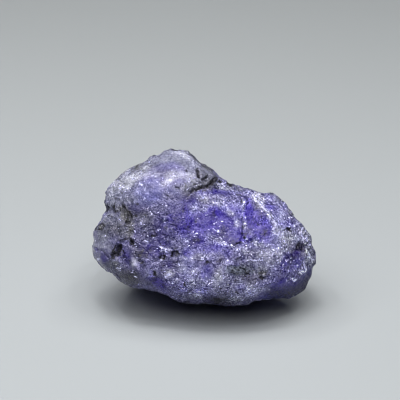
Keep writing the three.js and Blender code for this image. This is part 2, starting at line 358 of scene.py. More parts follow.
# --- clefts, pits and ledges of the near face, as depth below the body, in millimetres
CLEFTS = [  # line, half width at its ends, depth at its ends
    ([(216.5, 176), (213, 180), (209, 183), (203, 185.3), (197, 188), (191, 190.5)], (1.05, 0.8), (0.32, 0.0)),
    ([(226, 183), (217, 180.5)], (0.7, 0.8), (0.08, 0.15)),
    ([(197, 190), (190, 193), (183, 197), (176, 200), (166, 204)], (2.0, 3.4), (0.09, 0.0)),
    ([(240, 196), (243.4, 203), (243.8, 212), (242.4, 219), (243.6, 226), (242.6, 235), (240, 243)], (0.9, 1.1), (0.08, 0.14)),
    ([(94, 247), (101, 250), (106, 256), (110, 262)], (1.2, 1.3), (0.22, 0.2)),
    ([(115, 226), (119, 235), (121, 244), (117, 254)], (2.6, 3.0), (0.2, 0.45)),
    ([(304.5, 249), (301, 243), (295.5, 250)], (1.8, 1.8), (0.22, 0.22)),
    ([(306, 246), (310, 250), (313, 254)], (1.8, 1.8), (0.5, 0.3)),
    ([(142, 262), (145, 272), (150, 284)], (2.2, 2.2), (0.4, 0.35)),
    ([(122, 250), (125, 258), (129, 266)], (2.6, 2.6), (0.18, 0.08)),
    ([(105, 207), (110, 209), (114, 213)], (2.6, 2.0), (0.7, 0.3)),
    ([(209, 173.5), (206, 176), (202, 178.5)], (0.7, 0.7), (0.3, 0.3)),
    ([(197.5, 168.5), (198, 171.5), (198.5, 175)], (1.1, 1.1), (0.35, 0.3)),
    ([(286, 259), (283, 268), (281, 279)], (2.0, 2.2), (0.25, 0.2)),
    ([(168, 215), (158, 226), (150, 240)], (3.0, 4.0), (0.25, 0.3)),
]
PITS = [  # centre, radius, depth, height of the rim round it
    (174.5, 253, 3.4, 0.30, 0.10), (162.5, 256.5, 2.6, 0.22, 0.05), (131.5, 240.5, 2.2, 0.30, 0.0),
    (118.5, 247, 3.2, 0.40, 0.0), (114.5, 254, 3.0, 0.30, 0.0), (289, 230, 2.2, 0.3, 0.06), (300, 248, 3.4, 0.22, 0.0),
    (249, 241, 3.0, 0.22, 0.0), (158, 278, 2.4, 0.3, 0.0),
]
RIDGES = [  # line, half width, height
    ([(240, 213), (241, 222), (240.5, 232)], 2.2, 0.2),
    ([(256, 197), (263, 206), (270, 217), (277, 226)], 4.0, 0.25),
    ([(131, 258), (134, 264), (138, 270)], 3.0, 0.3),
    ([(160, 247), (166, 249), (172, 251)], 2.2, 0.2),
]
ragged = fbm(P, 0.9, 131, 3)
cut = np.zeros(len(P))
for line, half, deep in CLEFTS:
    d, t = lines_near(X + 0.35 * wob[0], Y + 0.35 * wob[1], line)
    wide = (half[0] + (half[1] - half[0]) * t) * (1 + 0.7 * ragged)
    cut = np.maximum(cut, (deep[0] + (deep[1] - deep[0]) * t) * (0.85 + 1.3 * ragged).clip(0.1, 2) * np.exp(-((d / wide) ** 2)))
rise = np.zeros(len(P))
hole = np.zeros(len(P))
for cx, cy, r, deep, lip in PITS:
    d = np.hypot(X + 0.6 * wob[0] - cx, Y + 0.6 * wob[1] - cy) / (r * (1 + 0.9 * ragged))
    hole = np.maximum(hole, deep * np.exp(-(d**2.5)))
    rise += lip * np.exp(-(((d - 1.35) / 0.4) ** 2))
for line, half, high in RIDGES:
    d, t = lines_near(XW, YW, line)
    rise += high * np.exp(-((d / half) ** 2))

# ------------------------------------------------------------------ colour zones
g = smooth(-1.8, 0.0, w_flat)
n1, n2, n3 = fbm(P, 5.0, 71, 4), fbm(P, 2.2, 81, 4), fbm(P, 1.0, 91, 3)
VIOLET = [
    (268.5, 222.5, 4, 5, -25, -0.5), (272, 218.6, 2.0, 1.4, 0, 0.3), (264.6, 214, 2.6, 2.4, 20, 0.4), (270.6, 225, 2.2, 2.2, 0, 0.3), (222, 231, 5, 7, 0, 0.6), (226, 212, 8, 5, -10, -0.40), (248, 209, 5, 4, 0, -0.2), (191, 193, 6, 4, -20, 0.3), (165, 177, 5, 5, 0, 0.15), (240, 235, 5, 6, 0, 0.15), (241, 236, 6, 4, 0, 0.25),
    (186, 198, 8, 5, 0, 0.25), (152, 251, 8, 4, 0, 0.2), (240, 265, 8, 3, 0, 0.15),
    (165, 178, 6, 7, 0, 0.15), (222, 228, 6, 10, 0, 0.6), (200, 241, 9, 5, 0, 0.4), (262, 215, 10, 10, 30, 0.25), (246, 246, 6, 4, 0, 0.15), (183, 226, 6, 8, 0, 0.15), (304, 291, 8, 6, 0, 0.25),
    (245, 195, 6, 3, 0, 0.15), (154, 249, 8, 5, 0, 0.15), (215, 196, 8, 4, 0, 0.15),
    (180, 215, 8, 10, 0, 0.25), (204, 226, 14, 7, 0, 0.2), 
    (225, 225, 9, 10, 0, 0.28), (158, 211, 12, 6, 0, 0.22), (178, 222, 8, 8, 0, 0.2), (255, 255, 5, 5, 0, 0.2), (135, 180, 6, 6, 0, 0.10), (166, 178, 5, 7, 0, 0.10),
    (215, 190, 14, 3, 5, 0.2), (245, 225, 4, 10, 0, 0.2), (146, 245, 8, 10, 0, 0.15), (195, 235, 8, 4, 0, 0.15),
    (208, 190, 20, 3, 8, 0.15), (223, 222, 5, 9, 0, 0.25), (155, 225, 7, 12, 0, 0.2), (266, 228, 6, 9, 20, 0.3), (255, 256, 8, 4, 0, 0.2),
    (163, 180, 4, 5, 0, 0.3), (140, 180, 8, 4, 0, 0.12), (298, 284, 10, 5, -20, 0.4), (132, 264, 6, 8, 0, 0.2), (215, 213, 8, 5, 0, 0.15),
    (190, 199, 8, 4, 0, 0.3), (160, 220, 9, 12, 0, 0.25), (222, 226, 6, 7, 0, 0.35), (195, 238, 6, 5, 0, 0.3), (227, 211, 6, 5, 0, 0.25), (260, 208, 5, 6, 0, 0.35),
    (130, 265, 5, 7, 0, 0.25), (170, 267, 6, 5, 0, 0.25), (235, 265, 8, 4, 0, 0.2), (255, 260, 7, 4, 0, 0.2), (285, 290, 18, 6, -10, 0.4),
    (200, 224, 32, 15, -6, 0.5), (205, 212, 20, 6, 0, 0.35), (170, 205, 10, 5, 0, 0.3), (243, 231, 4, 9, 0, 0.35), (262, 203, 3, 7, -30, 0.4),
    (267, 224, 5, 10, -20, 0.4), (155, 250, 8, 4, 0, 0.25), (194, 242, 8, 3, 0, 0.2), (235, 220, 9, 14, 0, 0.45), (221, 222, 6, 6, 0, 0.3), (186, 199, 7, 4, 0, 0.3), (266, 215, 5, 12, -28, 0.5), (217, 217, 13, 5, 0, 0.35), (266, 231, 5, 6, 0, 0.5), (246, 237, 5, 5, 0, 0.2), (155, 252, 8, 5, 0, 0.2), (190, 242, 7, 4, 0, 0.2), (226, 208, 8, 8, 0, 0.25), (180, 220, 14, 11, 0, 0.3), (174, 217, 5, 3, 20, 0.5), (187, 225, 6, 4, 30, 0.4), (195, 220, 5, 4, 0, 0.4),
    (213, 213, 4.5, 7, -15, 0.75), (198, 238, 7, 4, 0, 0.4), (205, 229, 9, 6, 0, 0.2), (232, 238, 12, 6, -18, 0.85),
    (223, 231, 6, 6, 30, 0.4), (250, 213, 5.5, 15, -8, 1.05), (257, 226, 7, 11, -30, 0.75), (249, 238, 4, 4, 0, 0.5), (184, 207, 3.5, 7, 10, 0.6),
    (222, 192, 16, 5, 10, 0.40), (192, 200, 8, 6, 0, 0.35), (160, 233, 13, 10, 0, 0.40), (163, 243, 10, 4, 10, 0.45), (150, 251, 10, 6, 20, 0.6),
    (210, 248, 24, 6, -4, 0.60), (228, 254, 7, 6, 0, 0.5), (206, 272, 9, 9, 20, 0.50), (169, 264, 6, 5, 0, 0.7), (125, 255, 5, 9, -10, 0.5),
    (156, 281, 11, 5, 30, 0.85), (166, 286, 12, 5, 25, 0.35), (189, 280, 9, 7, 0, 0.1), (186, 252, 5, 4, 0, 0.4), (296, 262, 10, 9, 0, 0.85),
    (284, 263, 4, 10, 10, 0.6), (283, 283, 13, 7, -25, 0.95), (298, 253, 5, 4, 0, 0.3), (272, 206, 7, 4, 20, 0.45), (292, 222, 6, 5, 0, 0.45),
    (101, 260, 7, 6, -35, 0.9), (136, 207, 10, 5, 0, 0.45), (143, 246, 7, 4, 0, 0.4), (237, 208, 6, 6, 0, 0.3), (268, 240, 10, 4, 20, 0.35),
]
BLUE = [  # soft lilac-blue
    (152, 190, 20, 10, -22, 1.0), (165, 162, 14, 7, 0, 0.35), (142, 199, 16, 6, 0, 0.55), (175, 190, 10, 6, 0, 0.5), (188, 164, 10, 5, 10, 0.1),
    (200, 240, 60, 30, 0, 0.55), (104, 240, 9, 10, 0, 0.5), (182, 268, 14, 12, 0, 0.5), (275, 262, 20, 20, 0, 0.4), (262, 285, 14, 10, -20, 0.4),
    (285, 235, 14, 12, 0, 0.35), (137, 263, 6, 8, 0, 0.5), (230, 205, 20, 12, 0, 0.35), (278, 288, 12, 6, -20, 0.5),
]
PALE = [
    (169, 178, 7, 5, -30, 0.9), (176, 173, 9, 4, 10, 0.8), (118, 182, 6, 5, -20, 0.5), (125, 186, 5, 3, 0, 0.5), (134, 178, 10, 6, -25, 0.45),
    (147, 175, 9, 6, -10, 0.65), (190, 175, 10, 6, 20, 0.55), (163, 184, 8, 5, -60, 0.6), (141, 185, 4, 3, 0, 0.6), (156, 172, 5, 4, 0, 0.4),
    (256, 197, 6, 4, 30, 0.8), (261, 203, 4.6, 5.4, -20, 1.1), (266, 209, 2.4, 2.4, 0, 0.7), (270, 214, 3.4, 4.6, -20, 1.0), (274.5, 222, 2.6, 3.6, -30, 0.8), (278, 230, 7, 6, 0, 0.75), (203, 196, 5, 4, 0, 0.62),
    (211, 202, 9, 4, 10, 0.6), (229, 211, 4, 8, -28, 0.62), (237, 223, 4, 4, 0, 0.7),
    (205, 208, 7, 4, 20, 0.45), (195, 205, 5, 3, 30, 0.4), (222, 243, 7, 3, 20, 0.75), (188, 240, 6, 3, 0, 0.55), (214, 238, 8, 3, 20, 0.35),
    (245, 226, 3, 5, 0, 0.7), (243, 212, 2, 9, 0, 0.5), (164, 248, 6, 3, 20, 0.9), (146, 239, 5, 3, 0, 0.5), (142, 221, 4, 4, 0, 0.4),
    (134, 262, 4, 7, 10, 0.85), (169, 273, 6, 4.5, 10, 0.9), (181, 267, 7, 7, 0, 0.55), (196, 256, 18, 4, -4, 0.60), (193, 271, 6, 5, 0, 0.5),
    (220, 270, 5, 10, 25, 0.6), (216, 284, 8, 6, 0, 0.45), (198, 295, 5, 3, 10, 0.8), (244, 250, 9, 5, -10, 0.6), (265, 253, 16, 6, -8, 0.75),
    (272, 262, 8, 8, 0, 0.45), (256, 264, 10, 7, 0, 0.4), (252, 285, 10, 7, -15, 0.55), (238, 296, 14, 5, 0, 0.45), (265, 290, 9, 4, -25, 0.5),
    (230, 289, 6, 4, 0, 0.4), (288, 240, 8, 6, 20, 0.55), (302, 272, 3, 3.5, 0, 0.9), (296, 279, 3, 2.5, 0, 0.6), (304, 234, 3.5, 9, -15, 0.8),
    (182, 153, 12, 4, 12, 0.5), (146, 166, 5, 4, 0, 0.5), (97, 258, 3, 3, 0, 0.5), (118, 267, 2.5, 2.5, 0, 0.6), (103, 246, 6, 3, 10, 0.4),
    (96, 240, 4, 6, 0, 0.3), (218, 196, 12, 3, 12, 0.35), (308, 258, 3, 8, 0, 0.25), (200, 168, 5, 4, 0, 0.35), (177, 280, 5, 4, 0, 0.35),
]
GREY = [
    (297, 254, 8, 4, -8, 0.7), (283, 262, 6, 6, 0, 0.2), (246, 208, 5, 5, 0, 0.15), (204, 270, 5, 6, 0, 0.2), (222, 249, 7, 3, 10, 0.25), (270, 241, 8, 5, 0, 0.2), (308, 240, 5, 10, 0, 0.2),
    (128, 167, 20, 5, -28, 0.25), (108, 186, 6, 10, 20, 0.25), (133, 216, 8, 6, 0, 0.2), (192, 208, 5, 8, 15, 0.5), (219, 206, 6, 3, 0, 0.3), (280, 216, 4, 6, 0, 0.35),
    (264, 245, 8, 4, 30, 0.35), (282, 263, 7, 6, 0, 0.25), (205, 275, 5, 6, 0, 0.25), (148, 275, 4, 7, 0, 0.6), (220, 205, 6, 3, 0, 0.35), (193, 207, 3, 6, 10, 0.3), (260, 239, 5, 3, 0, 0.25), (276, 256, 6, 8, 0, 0.2), (204, 232, 5, 4, 0, 0.2), (180, 293, 10, 4, 10, 0.2), (302, 243, 4, 6, 0, 0.2),
    (105, 190, 6, 12, 10, 0.35), (120, 222, 12, 6, 0, 0.3), (109, 215, 8, 5, 0, 0.3), (114, 270, 10, 5, 30, 0.3), (259, 240, 4, 4, 0, 0.6), (303, 238, 7, 10, 0, 0.25),
    (275, 205, 8, 5, 30, 0.15), (130, 170, 18, 4, -28, 0.25), (190, 157, 12, 5, 35, 0.3), (200, 180, 8, 4, 0, 0.2), (282, 255, 8, 8, 30, 0.25),
    (258, 241, 5, 4, 0, 0.5), (222, 247, 8, 4, 0, 0.3), (200, 281, 9, 8, 0, 0.3), (226, 275, 4, 8, 0, 0.3), (297, 266, 8, 6, 0, 0.3), (165, 226, 6, 6, 0, 0.3),
    (200, 232, 5, 4, 0, 0.2), (290, 245, 8, 6, 0, 0.2), (185, 175, 12, 6, 0, 0.25), (222, 207, 5, 3, 0, 0.25), (255, 230, 4, 5, 0, 0.2),
    (165, 154, 20, 5, -5, 0.5), (198, 163, 12, 6, 40, 0.4), (146, 190, 8, 6, 0, 0.3), (205, 275, 7, 7, 0, 0.5), (225, 246, 7, 5, 0, 0.4), (169, 226, 4, 6, 0, 0.35),
    (256, 232, 4, 9, -20, 0.25), (308, 252, 6, 16, 0, 0.5), (190, 286, 9, 5, 0, 0.4), (296, 264, 8, 6, 0, 0.3), (278, 199, 8, 4, 20, 0.4), (103, 225, 6, 14, 0, 0.3),
    (110, 262, 7, 6, 0, 0.35), (126, 280, 12, 4, 10, 0.3),
    (110, 195, 5, 14, 0, 0.4), (130, 175, 8, 5, 0, 0.3), (103, 262, 5, 6, 0, 0.4), (112, 264, 5, 5, 0, 0.3), (130, 200, 8, 5, 0, 0.3), (175, 187, 5, 5, 0, 0.4),
    (190, 172, 6, 5, 0, 0.5), (216, 178, 6, 4, 0, 0.5), (155, 283, 8, 3, 0, 0.5), (190, 280, 8, 5, 0, 0.4), (225, 247, 5, 4, 0, 0.35), (276, 204, 7, 6, 0, 0.3),
    (292, 258, 14, 10, 0, 0.35), (288, 232, 8, 6, 0, 0.3),
    (110, 200, 9, 12, 0, 0.85), (130, 170, 20, 5, -28, 0.65), (107, 188, 5, 11, 0, 0.6), (204, 173, 12, 9, 35, 1.0), (196, 183, 10, 5, -25, 0.75),
    (192, 155, 12, 6, 20, 0.55), (108, 222, 8, 8, 0, 0.7), (125, 228, 9, 12, 0, 0.75), (146, 216, 12, 8, 0, 0.7), (150, 228, 10, 7, 0, 0.45),
    (100, 231, 9, 8, 0, 0.5), (117, 264, 9, 8, 0, 0.6), (129, 278, 12, 8, 0, 0.9), (239, 270, 13, 6, 0, 1.0), (262, 273, 9, 7, 0, 0.65),
    (252, 262, 20, 9, 0, 0.45), (238, 282, 14, 6, 0, 0.7), (216, 285, 14, 9, 0, 0.45), (292, 238, 11, 7, 0, 0.65), (312, 261, 5, 12, 0, 0.8),
    (230, 300, 26, 5, 0, 0.8), (140, 258, 6, 6, 0, 0.4), (165, 208, 14, 6, 0, 0.45), (160, 283, 8, 4, 0, 0.2), (296, 294, 12, 5, 0, 0.35),
    (217, 200, 14, 6, 10, 0.35), (186, 190, 8, 5, 0, 0.35), (284, 218, 8, 5, 0, 0.3), (260, 193, 8, 3, 0, 0.4),
    (170, 229, 6, 8, 0, 0.3), (190, 297, 10, 4, 0, 0.5), (303, 226, 6, 6, 0, 0.35), (160, 156, 20, 8, -25, 0.9), (188, 162, 12, 9, 40, 0.7), (178, 156, 12, 8, 0, 0.5), (122, 196, 14, 10, 0, 0.5), (222, 184, 12, 4, 10, 0.6), (112, 246, 8, 8, 0, 0.4), (184, 186, 9, 6, 0, 0.4), (145, 166, 10, 5, -20, 0.4), (278, 248, 10, 5, 0, 0.3), (240, 188, 16, 3, 8, 0.5),
    (125, 182, 14, 12, 0, 0.75), (104, 242, 9, 10, 0, 0.5), (284, 240, 8, 10, 0, 0.3), (120, 225, 16, 18, 0, 0.3), (135, 268, 10, 10, 0, 0.3),
]
MILK = [  # greyish white, hardly blue
    (126, 181, 12, 7, -25, 0.75), (112, 191, 5, 9, 0, 0.45), (141, 171, 12, 5, -22, 0.55), (192, 177, 8, 6, 20, 0.45), (183, 153, 14, 4, 10, 0.5),
    (136, 263, 4, 6, 0, 0.4), (222, 277, 5, 9, 20, 0.4), (292, 239, 8, 6, 0, 0.35), (203, 197, 6, 4, 0, 0.3), (256, 258, 16, 6, 0, 0.25), (252, 196, 8, 2.5, 10, 0.4),
]
CREAM = [
    (126, 213, 7, 7, 0, 1.0), (114.5, 251, 4, 5, 20, 0.8), (99.8, 226.2, 1.8, 1.6, 0, 1.0), (131, 226, 5, 8, 0, 0.8), (122, 206, 7, 4, 0, 0.55), (103, 225, 6, 3.5, -20, 0.6), (128, 236, 4, 5, 0, 0.5),
    (116, 262, 6, 5, 0, 0.6), (136, 253, 4, 7, 0, 0.7), (198, 186, 9, 2.5, -25, 0.6), (265, 272, 4.5, 3, 0, 0.7), (232, 268, 8, 5, 0, 0.2),
    (137, 166, 5, 4, 0, 0.75), (124, 172, 6, 3, -30, 0.5), (175, 254, 4, 4, 0, 0.8), (168, 206, 5, 3, 0, 0.4), (162, 258, 3, 3, 0, 0.6),
    (155, 273, 3.5, 3.5, 0, 0.6), (206, 190, 4, 2, 0, 0.4), (140, 276, 6, 4, 0, 0.3), (224, 272, 3, 7, 0, 0.3), (225, 247, 5, 2, 20, 0.3),
]
SPECKS = [  # black graphite: centre, half sizes, turn
     (213.0, 179.8, 3.6, 1.5, -45), (205.5, 176.3, 3.8, 1.0, -35), (197.8, 171.0, 1.5, 2.8, -10),
    (204, 185.0, 2.0, 1.0, -20), (198.8, 186.8, 2.0, 1.1, -15), (193, 189.0, 1.4, 1.2, -40), (209, 182.8, 2.6, 1.0, -20),
    (239, 194, 3.2, 1.1, 10), (242, 201, 0.9, 3.0, 10), (113, 207, 2.0, 3.4, 10), (123, 206, 2.2, 2.4, 0), (130, 215, 3.2, 3.4, 0),
    (127, 221, 2.2, 2.0, 0),  (118.6, 248, 2.0, 4.0, 15), (112.5, 256, 1.6, 2.0, 0),
    (120, 245, 1.6, 2.6, 0), (131, 240, 2.6, 1.6, 0), (131.5, 242.5, 2.2, 1.2, 0),
    (184.3, 284, 1.2, 1.9, 0), (208.5, 261.5, 1.6, 1.2, 10),
    (217, 261, 1.5, 0.8, 0), (233, 270.5, 1.6, 1.2, 0), (262, 277.5, 1.4, 1.2, 0),
    (300.6, 243.8, 0.9, 1.6, 0), (298.5, 247.0, 1.4, 0.8, -40),
    (137, 203, 1.6, 1.1, 0), (145.5, 208.5, 1.6, 0.9, 0), (120, 180, 1.1, 1.1, 0),
    (136, 165.5, 1.4, 1.1, 0), (124, 170, 1.4, 0.9, 0), (176, 149.5, 2.4, 0.8, 0), (155, 274, 1.6, 1.4, 0),
    (237, 291.5, 1.8, 1.3, 0), (110, 222, 1.1, 1.3, 0), (219, 299, 4.5, 2.2, 0), (152, 234.5, 2.2, 0.8, 0),
    (244.4, 236.5, 1.2, 1.2, 0), (140.5, 253.5, 1.3, 2.0, 0), (147, 254, 1.0, 1.4, 0),
    (178, 271.5, 3.4, 0.9, 20), (190, 291, 2.6, 1.0, -10), (221, 287, 1.8, 0.9, 0), (238, 258, 2.2, 1.8, -30), (309, 249, 2.4, 0.9, 40),
    (111, 215, 1.0, 1.0, 0), (116, 197, 1.2, 1.0, 0), (108, 214, 1.3, 1.0, 0), (242.4, 217, 0.6, 1.4, 20), (242.6, 226.5, 0.6, 1.6, -20), (242.0, 233.5, 0.9, 1.8, 15), (243.4, 207, 0.7, 1.8, 0), (165, 226, 1.6, 0.9, 0),
]
TONE_AND_SHADE = [  # broad lighter and darker areas of the stone, partly its own tone and partly painted shade, as along the bottom
    (294, 253, 9, 3.5, -8, 0.30), (301, 241, 4, 4, 0, 0.16), (205, 199, 5, 3.5, 0, -0.08), (223, 185, 4, 3, 20, -0.18), (201, 188, 4, 3, 0, 0.16), (247, 241, 4, 3, 0, 0.20),
    (270, 236, 5, 3, 0, 0.14), (272, 205, 4, 3, 0, 0.12), (240, 204, 4, 4, 0, 0.08), (250, 212, 4, 4, 0, 0.08), (181, 231, 4, 4, 0, 0.10),
    (131, 210, 8, 4, 20, 0.08), (195, 214, 4, 4, 0, -0.08), (232, 242, 5, 5, 0, -0.10), (214, 238, 6, 3, 0, -0.08), (267, 219, 4, 6, -25, 0.20), (270, 206, 5, 4, 0, 0.18), (240, 280, 12, 5, 0, 0.06),
    (188, 193, 4, 4, 0, -0.10), (110, 193, 4, 4, 0, -0.08), (143, 170, 5, 4, 0, -0.08), (286, 238, 7, 4, 0, -0.08), (217, 273, 4, 5, 0, -0.08), (178, 275, 5, 4, 0, -0.08),
    (257, 250, 16, 9, 0, -0.06), (231, 237, 8, 4, 0, -0.08), (219, 213, 4, 3, 20, 0.14), (226, 222, 3, 4, 0, 0.10), (268, 221, 4, 5, -25, 0.14), (251, 207, 4, 6, 0, 0.10),
    (250, 231, 4, 4, 0, -0.08), (197, 256, 6, 4, 0, -0.06), (193, 271, 4, 4, 0, -0.08), (218, 256, 5, 4, 0, -0.06), (150, 268, 5, 4, 0, -0.08), (308, 253, 4, 4, 0, -0.10),
    (297, 257, 6, 5, 0, 0.08), (303, 227, 5, 5, 0, -0.06), (136, 213, 6, 4, 0, 0.08), (134, 189, 4, 4, 0, 0.06), (200, 187, 4, 4, 0, 0.10), (215, 189, 4, 3, 0, 0.10),
    (129, 240, 5, 4, 0, 0.08), (150, 244, 5, 4, 0, 0.08), (163, 206, 4, 6, 0, -0.06), (112, 192, 5, 6, 0, -0.05), (187, 190, 4, 5, 0, -0.08), (232, 211, 3, 4, 0, -0.08),
    (218, 213, 4, 4, 20, 0.20), (226, 222, 4, 4, 0, 0.20), (267, 221, 4, 6, -25, 0.22), (247, 240, 3.5, 3, 0, 0.16), (128, 240, 4, 3, 0, 0.12), (152, 244, 5, 4, 0, 0.10),
    (241, 268, 6, 4, 0, 0.08), (240, 281, 12, 4, 0, 0.05), (308, 252, 4, 5, 0, -0.22), (151, 268, 5, 4, 0, -0.12), (222.5, 185, 4, 2.5, 20, -0.14), (258, 195, 6, 3, 0, -0.10),
    (302, 226, 5, 5, -20, -0.08), (202, 199, 5, 3, 0, -0.08), (162, 205, 4, 6, 0, -0.06), (230, 237, 8, 4, 0, -0.08), (209, 237, 6, 3, 0, -0.06), (258, 246, 5, 4, 0, -0.08),
    (249, 231, 4, 4, 0, -0.06), (193, 271, 5, 4, 0, -0.06), (180, 178, 9, 7, 0, -0.06), (165, 188, 16, 5, -20, -0.05), (105, 226, 6, 6, 0, 0.05), (268, 206, 3, 3, 0, 0.08),
    (268, 254, 7, 7, 0, -0.10), (196, 252, 6, 5, 0, -0.10), (197, 271, 5, 5, 0, -0.08), (218, 276, 4, 6, 0, -0.08), (135, 172, 9, 4, -28, -0.08), (162, 205, 4, 7, 0, -0.12),
    (128, 201, 5, 3, 0, -0.08), (218, 212, 3, 5, 0, 0.10), (251, 208, 4, 6, 0, 0.08), (229, 197, 6, 5, 0, 0.08), (134, 189, 4, 4, 0, 0.10), (136, 215, 6, 4, 10, 0.10),
    (128, 240, 4, 4, 0, 0.12), (200, 187, 5, 5, 0, 0.10), (194, 234, 4, 4, 0, -0.10), (249, 231, 5, 5, 0, -0.08), (260, 236, 5, 4, 0, 0.10), (108, 206, 3, 8, 0, 0.12),
    (168, 232, 5, 5, 0, 0.06), (252, 196, 6, 3, 20, -0.08), (286, 218, 4, 8, -20, 0.05), (302, 226, 5, 6, -20, -0.08), (305, 265, 5, 8, 0, -0.06), (300, 275, 10, 8, 0, 0.04),
    (222, 184, 6, 5, 30, 0.30), (232, 189, 7, 4, 20, 0.18), (201, 187, 6, 3, 0, 0.16), (205, 199, 5, 4, 0, -0.10), (228, 209, 5, 5, 0, -0.06), (223, 221, 5, 7, -25, 0.18), (225, 215, 6, 5, 20, 0.30),
    (242, 226, 7, 6, 20, -0.08), (218, 238, 9, 5, 10, -0.12), (232, 244, 6, 4, 0, -0.12), (200, 258, 8, 4, 0, -0.10), (195, 276, 8, 10, 0, -0.06),
    (247, 241, 4, 4, 0, 0.16), (262, 237, 6, 4, 0, 0.10), (270, 236, 5, 4, 0, 0.12), (290, 254, 10, 3, 0, 0.16), (297, 251, 5, 4, 0, 0.14), (304, 240, 4, 5, 0, 0.12),
    (287, 229, 4, 4, 0, 0.12), (181, 231, 5, 5, 0, 0.10), (218, 211, 4, 3, 0, 0.08), (204, 227, 6, 3, 0, 0.06), (130, 212, 9, 4, 20, 0.12), (205, 166, 8, 5, 40, 0.12),
    (102, 226, 5, 6, 0, 0.10), (186, 194, 4, 4, 0, -0.12), (150, 186, 10, 4, -12, -0.10), (225, 190, 10, 3, 5, 0.10),
    (221, 184, 5, 4, 30, 0.22), (232, 189, 6, 3, 20, 0.12), (192, 207, 4, 10, 15, 0.42), (247, 240, 4, 4, 0, 0.18), (295, 253, 6, 3, -10, 0.16), (301, 240, 4, 4, 0, 0.12),
    (129, 210, 8, 4, 20, 0.12), (205, 165, 5, 4, 40, 0.12), (160, 158, 8, 4, -20, 0.08), (183, 291, 5, 4, 0, 0.16), (205, 290, 5, 3, 0, 0.14), (150, 275, 5, 4, 0, 0.14),
    (204, 235, 5, 3, 0, 0.10), (180, 230, 4, 4, 0, 0.08), (240, 211, 5, 4, 0, 0.08), (145, 262, 4, 5, 0, 0.12), (213, 262, 4, 3, 0, 0.12), (241, 269, 6, 4, 0, 0.08),
    (246, 284, 6, 4, 0, 0.08), (100, 224, 4, 5, 0, 0.14), (103, 206, 3, 5, 0, 0.14), (150, 185, 10, 3, -12, -0.12), (128, 178, 7, 4, -30, -0.12), (143, 168, 4, 4, 0, -0.12),
    (190, 175, 5, 4, 0, -0.08), (205, 199, 5, 3, 0, -0.16), (265, 213, 6, 4, 30, -0.12), (274, 224, 5, 4, 50, -0.12), (220, 235, 8, 5, 0, -0.14), (232, 243, 6, 5, 0, -0.12),
    (200, 258, 5, 4, 0, -0.12), (220, 258, 4, 4, 0, -0.10), (175, 278, 5, 4, 0, -0.08), (195, 283, 7, 5, 0, -0.12), (217, 276, 4, 6, 0, -0.14), (155, 263, 5, 4, 0, -0.12),
    (133, 262, 4, 5, 0, -0.10), (166, 232, 5, 4, 0, -0.08), (135, 243, 5, 5, 0, -0.10), (302, 228, 4, 4, 0, -0.12), (309, 280, 4, 6, 0, -0.10), (188, 193, 5, 4, 0, -0.10),
    (285, 238, 5, 4, 0, -0.10), (260, 252, 4, 4, 0, -0.10), (246, 226, 4, 4, 0, -0.08), (258, 193.5, 7, 2.5, 0, -0.30), (222, 222, 4, 4, 0, -0.10), (110, 193, 4, 5, 0, -0.10),
    (205, 173, 8, 6, 0, 0.12), (104, 240, 10, 10, 0, 0.04), (300, 270, 8, 8, 0, 0.04), (172, 228, 10, 8, 0, -0.06),
    (255, 215, 12, 20, -30, 0.05), (235, 225, 6, 6, 0, 0.06), (284, 270, 14, 10, 0, 0.06), (240, 270, 14, 5, 10, 0.05),
    (275, 231, 4, 5, 0, 0.18), (281, 221, 4, 5, 0, 0.18), (300, 239, 5, 4, 0, 0.2), (291, 253, 8, 3, 0, 0.16), (255, 266, 6, 5, 0, 0.16), (246, 238, 5, 4, 0, 0.2),
    (183, 291, 5, 4, 0, 0.2), (204, 288, 6, 4, -20, 0.22), (150, 270, 4, 7, 0, 0.18), (222, 205, 12, 6, 0, 0.08), (205, 206, 6, 4, 0, 0.10), (122, 194, 5, 4, 0, 0.12),
    (194, 246, 5, 4, 0, 0.10), (211, 258, 4, 4, 0, 0.12), (105, 200, 3, 8, 0, 0.15), (280, 201, 6, 3, 30, 0.10), (130, 168, 16, 3, -28, 0.10), (187, 210, 4, 4, 0, 0.12),
    (165, 232, 6, 5, 0, -0.18), (134, 245, 5, 4, 0, -0.16), (131, 239, 5, 3, 0, -0.08), (220, 236, 7, 5, 0, -0.16), (233, 244, 5, 4, 0, -0.16), (217, 258, 4, 4, 0, -0.14),
    (186, 193, 6, 4, 0, -0.14), (209, 182, 5, 4, 0, -0.12), (246, 226, 5, 5, 0, -0.14), (265, 213, 6, 5, 0, -0.12), (201, 258, 4, 3, 0, -0.12), (130, 280, 10, 4, 20, -0.14),
    (220, 299, 6, 3, 0, -0.2), (303, 228, 4, 4, 0, -0.12), (309, 279, 4, 6, 0, -0.14), (198, 218, 4, 4, 0, -0.08),
    (125, 182, 9, 5, -30, 0.10), (265, 215, 8, 14, -20, 0.07), (110, 205, 14, 10, 0, 0.06), (290, 302, 20, 4, 0, -0.12),
    (259, 240, 6, 4, 0, 0.30), (194, 204, 6, 5, -20, 0.22), (206, 210, 6, 4, 0, 0.16), (225, 209, 7, 6, 0, 0.12), (232, 196, 6, 4, 0, 0.12),
    (250, 200, 5, 5, 0, 0.18), (270, 205, 6, 4, 20, 0.18), (278, 215, 5, 5, 0, 0.12), (283, 228, 5, 5, 0, 0.16), (299, 240, 5, 5, 0, 0.15),
    (308, 245, 4, 8, -10, 0.18), (302, 256, 6, 5, 0, 0.12), (280, 260, 5, 5, 0, 0.12), (256, 267, 5, 4, 0, 0.18), (242, 284, 4, 5, 0, 0.22),
    (203, 270, 4, 4, 0, 0.12), (187, 249, 5, 5, 0, 0.12), (148, 275, 4, 5, 0, 0.18), (223, 183, 6, 3, 10, 0.12), (207, 170, 5, 4, 0, 0.18),
    (120, 193, 6, 4, 0, 0.12), (104, 205, 3, 8, 0, 0.2), (135, 212, 8, 4, 10, 0.12), (232, 298, 4, 3, 0, 0.15), (160, 248, 5, 3, 0, 0.12),
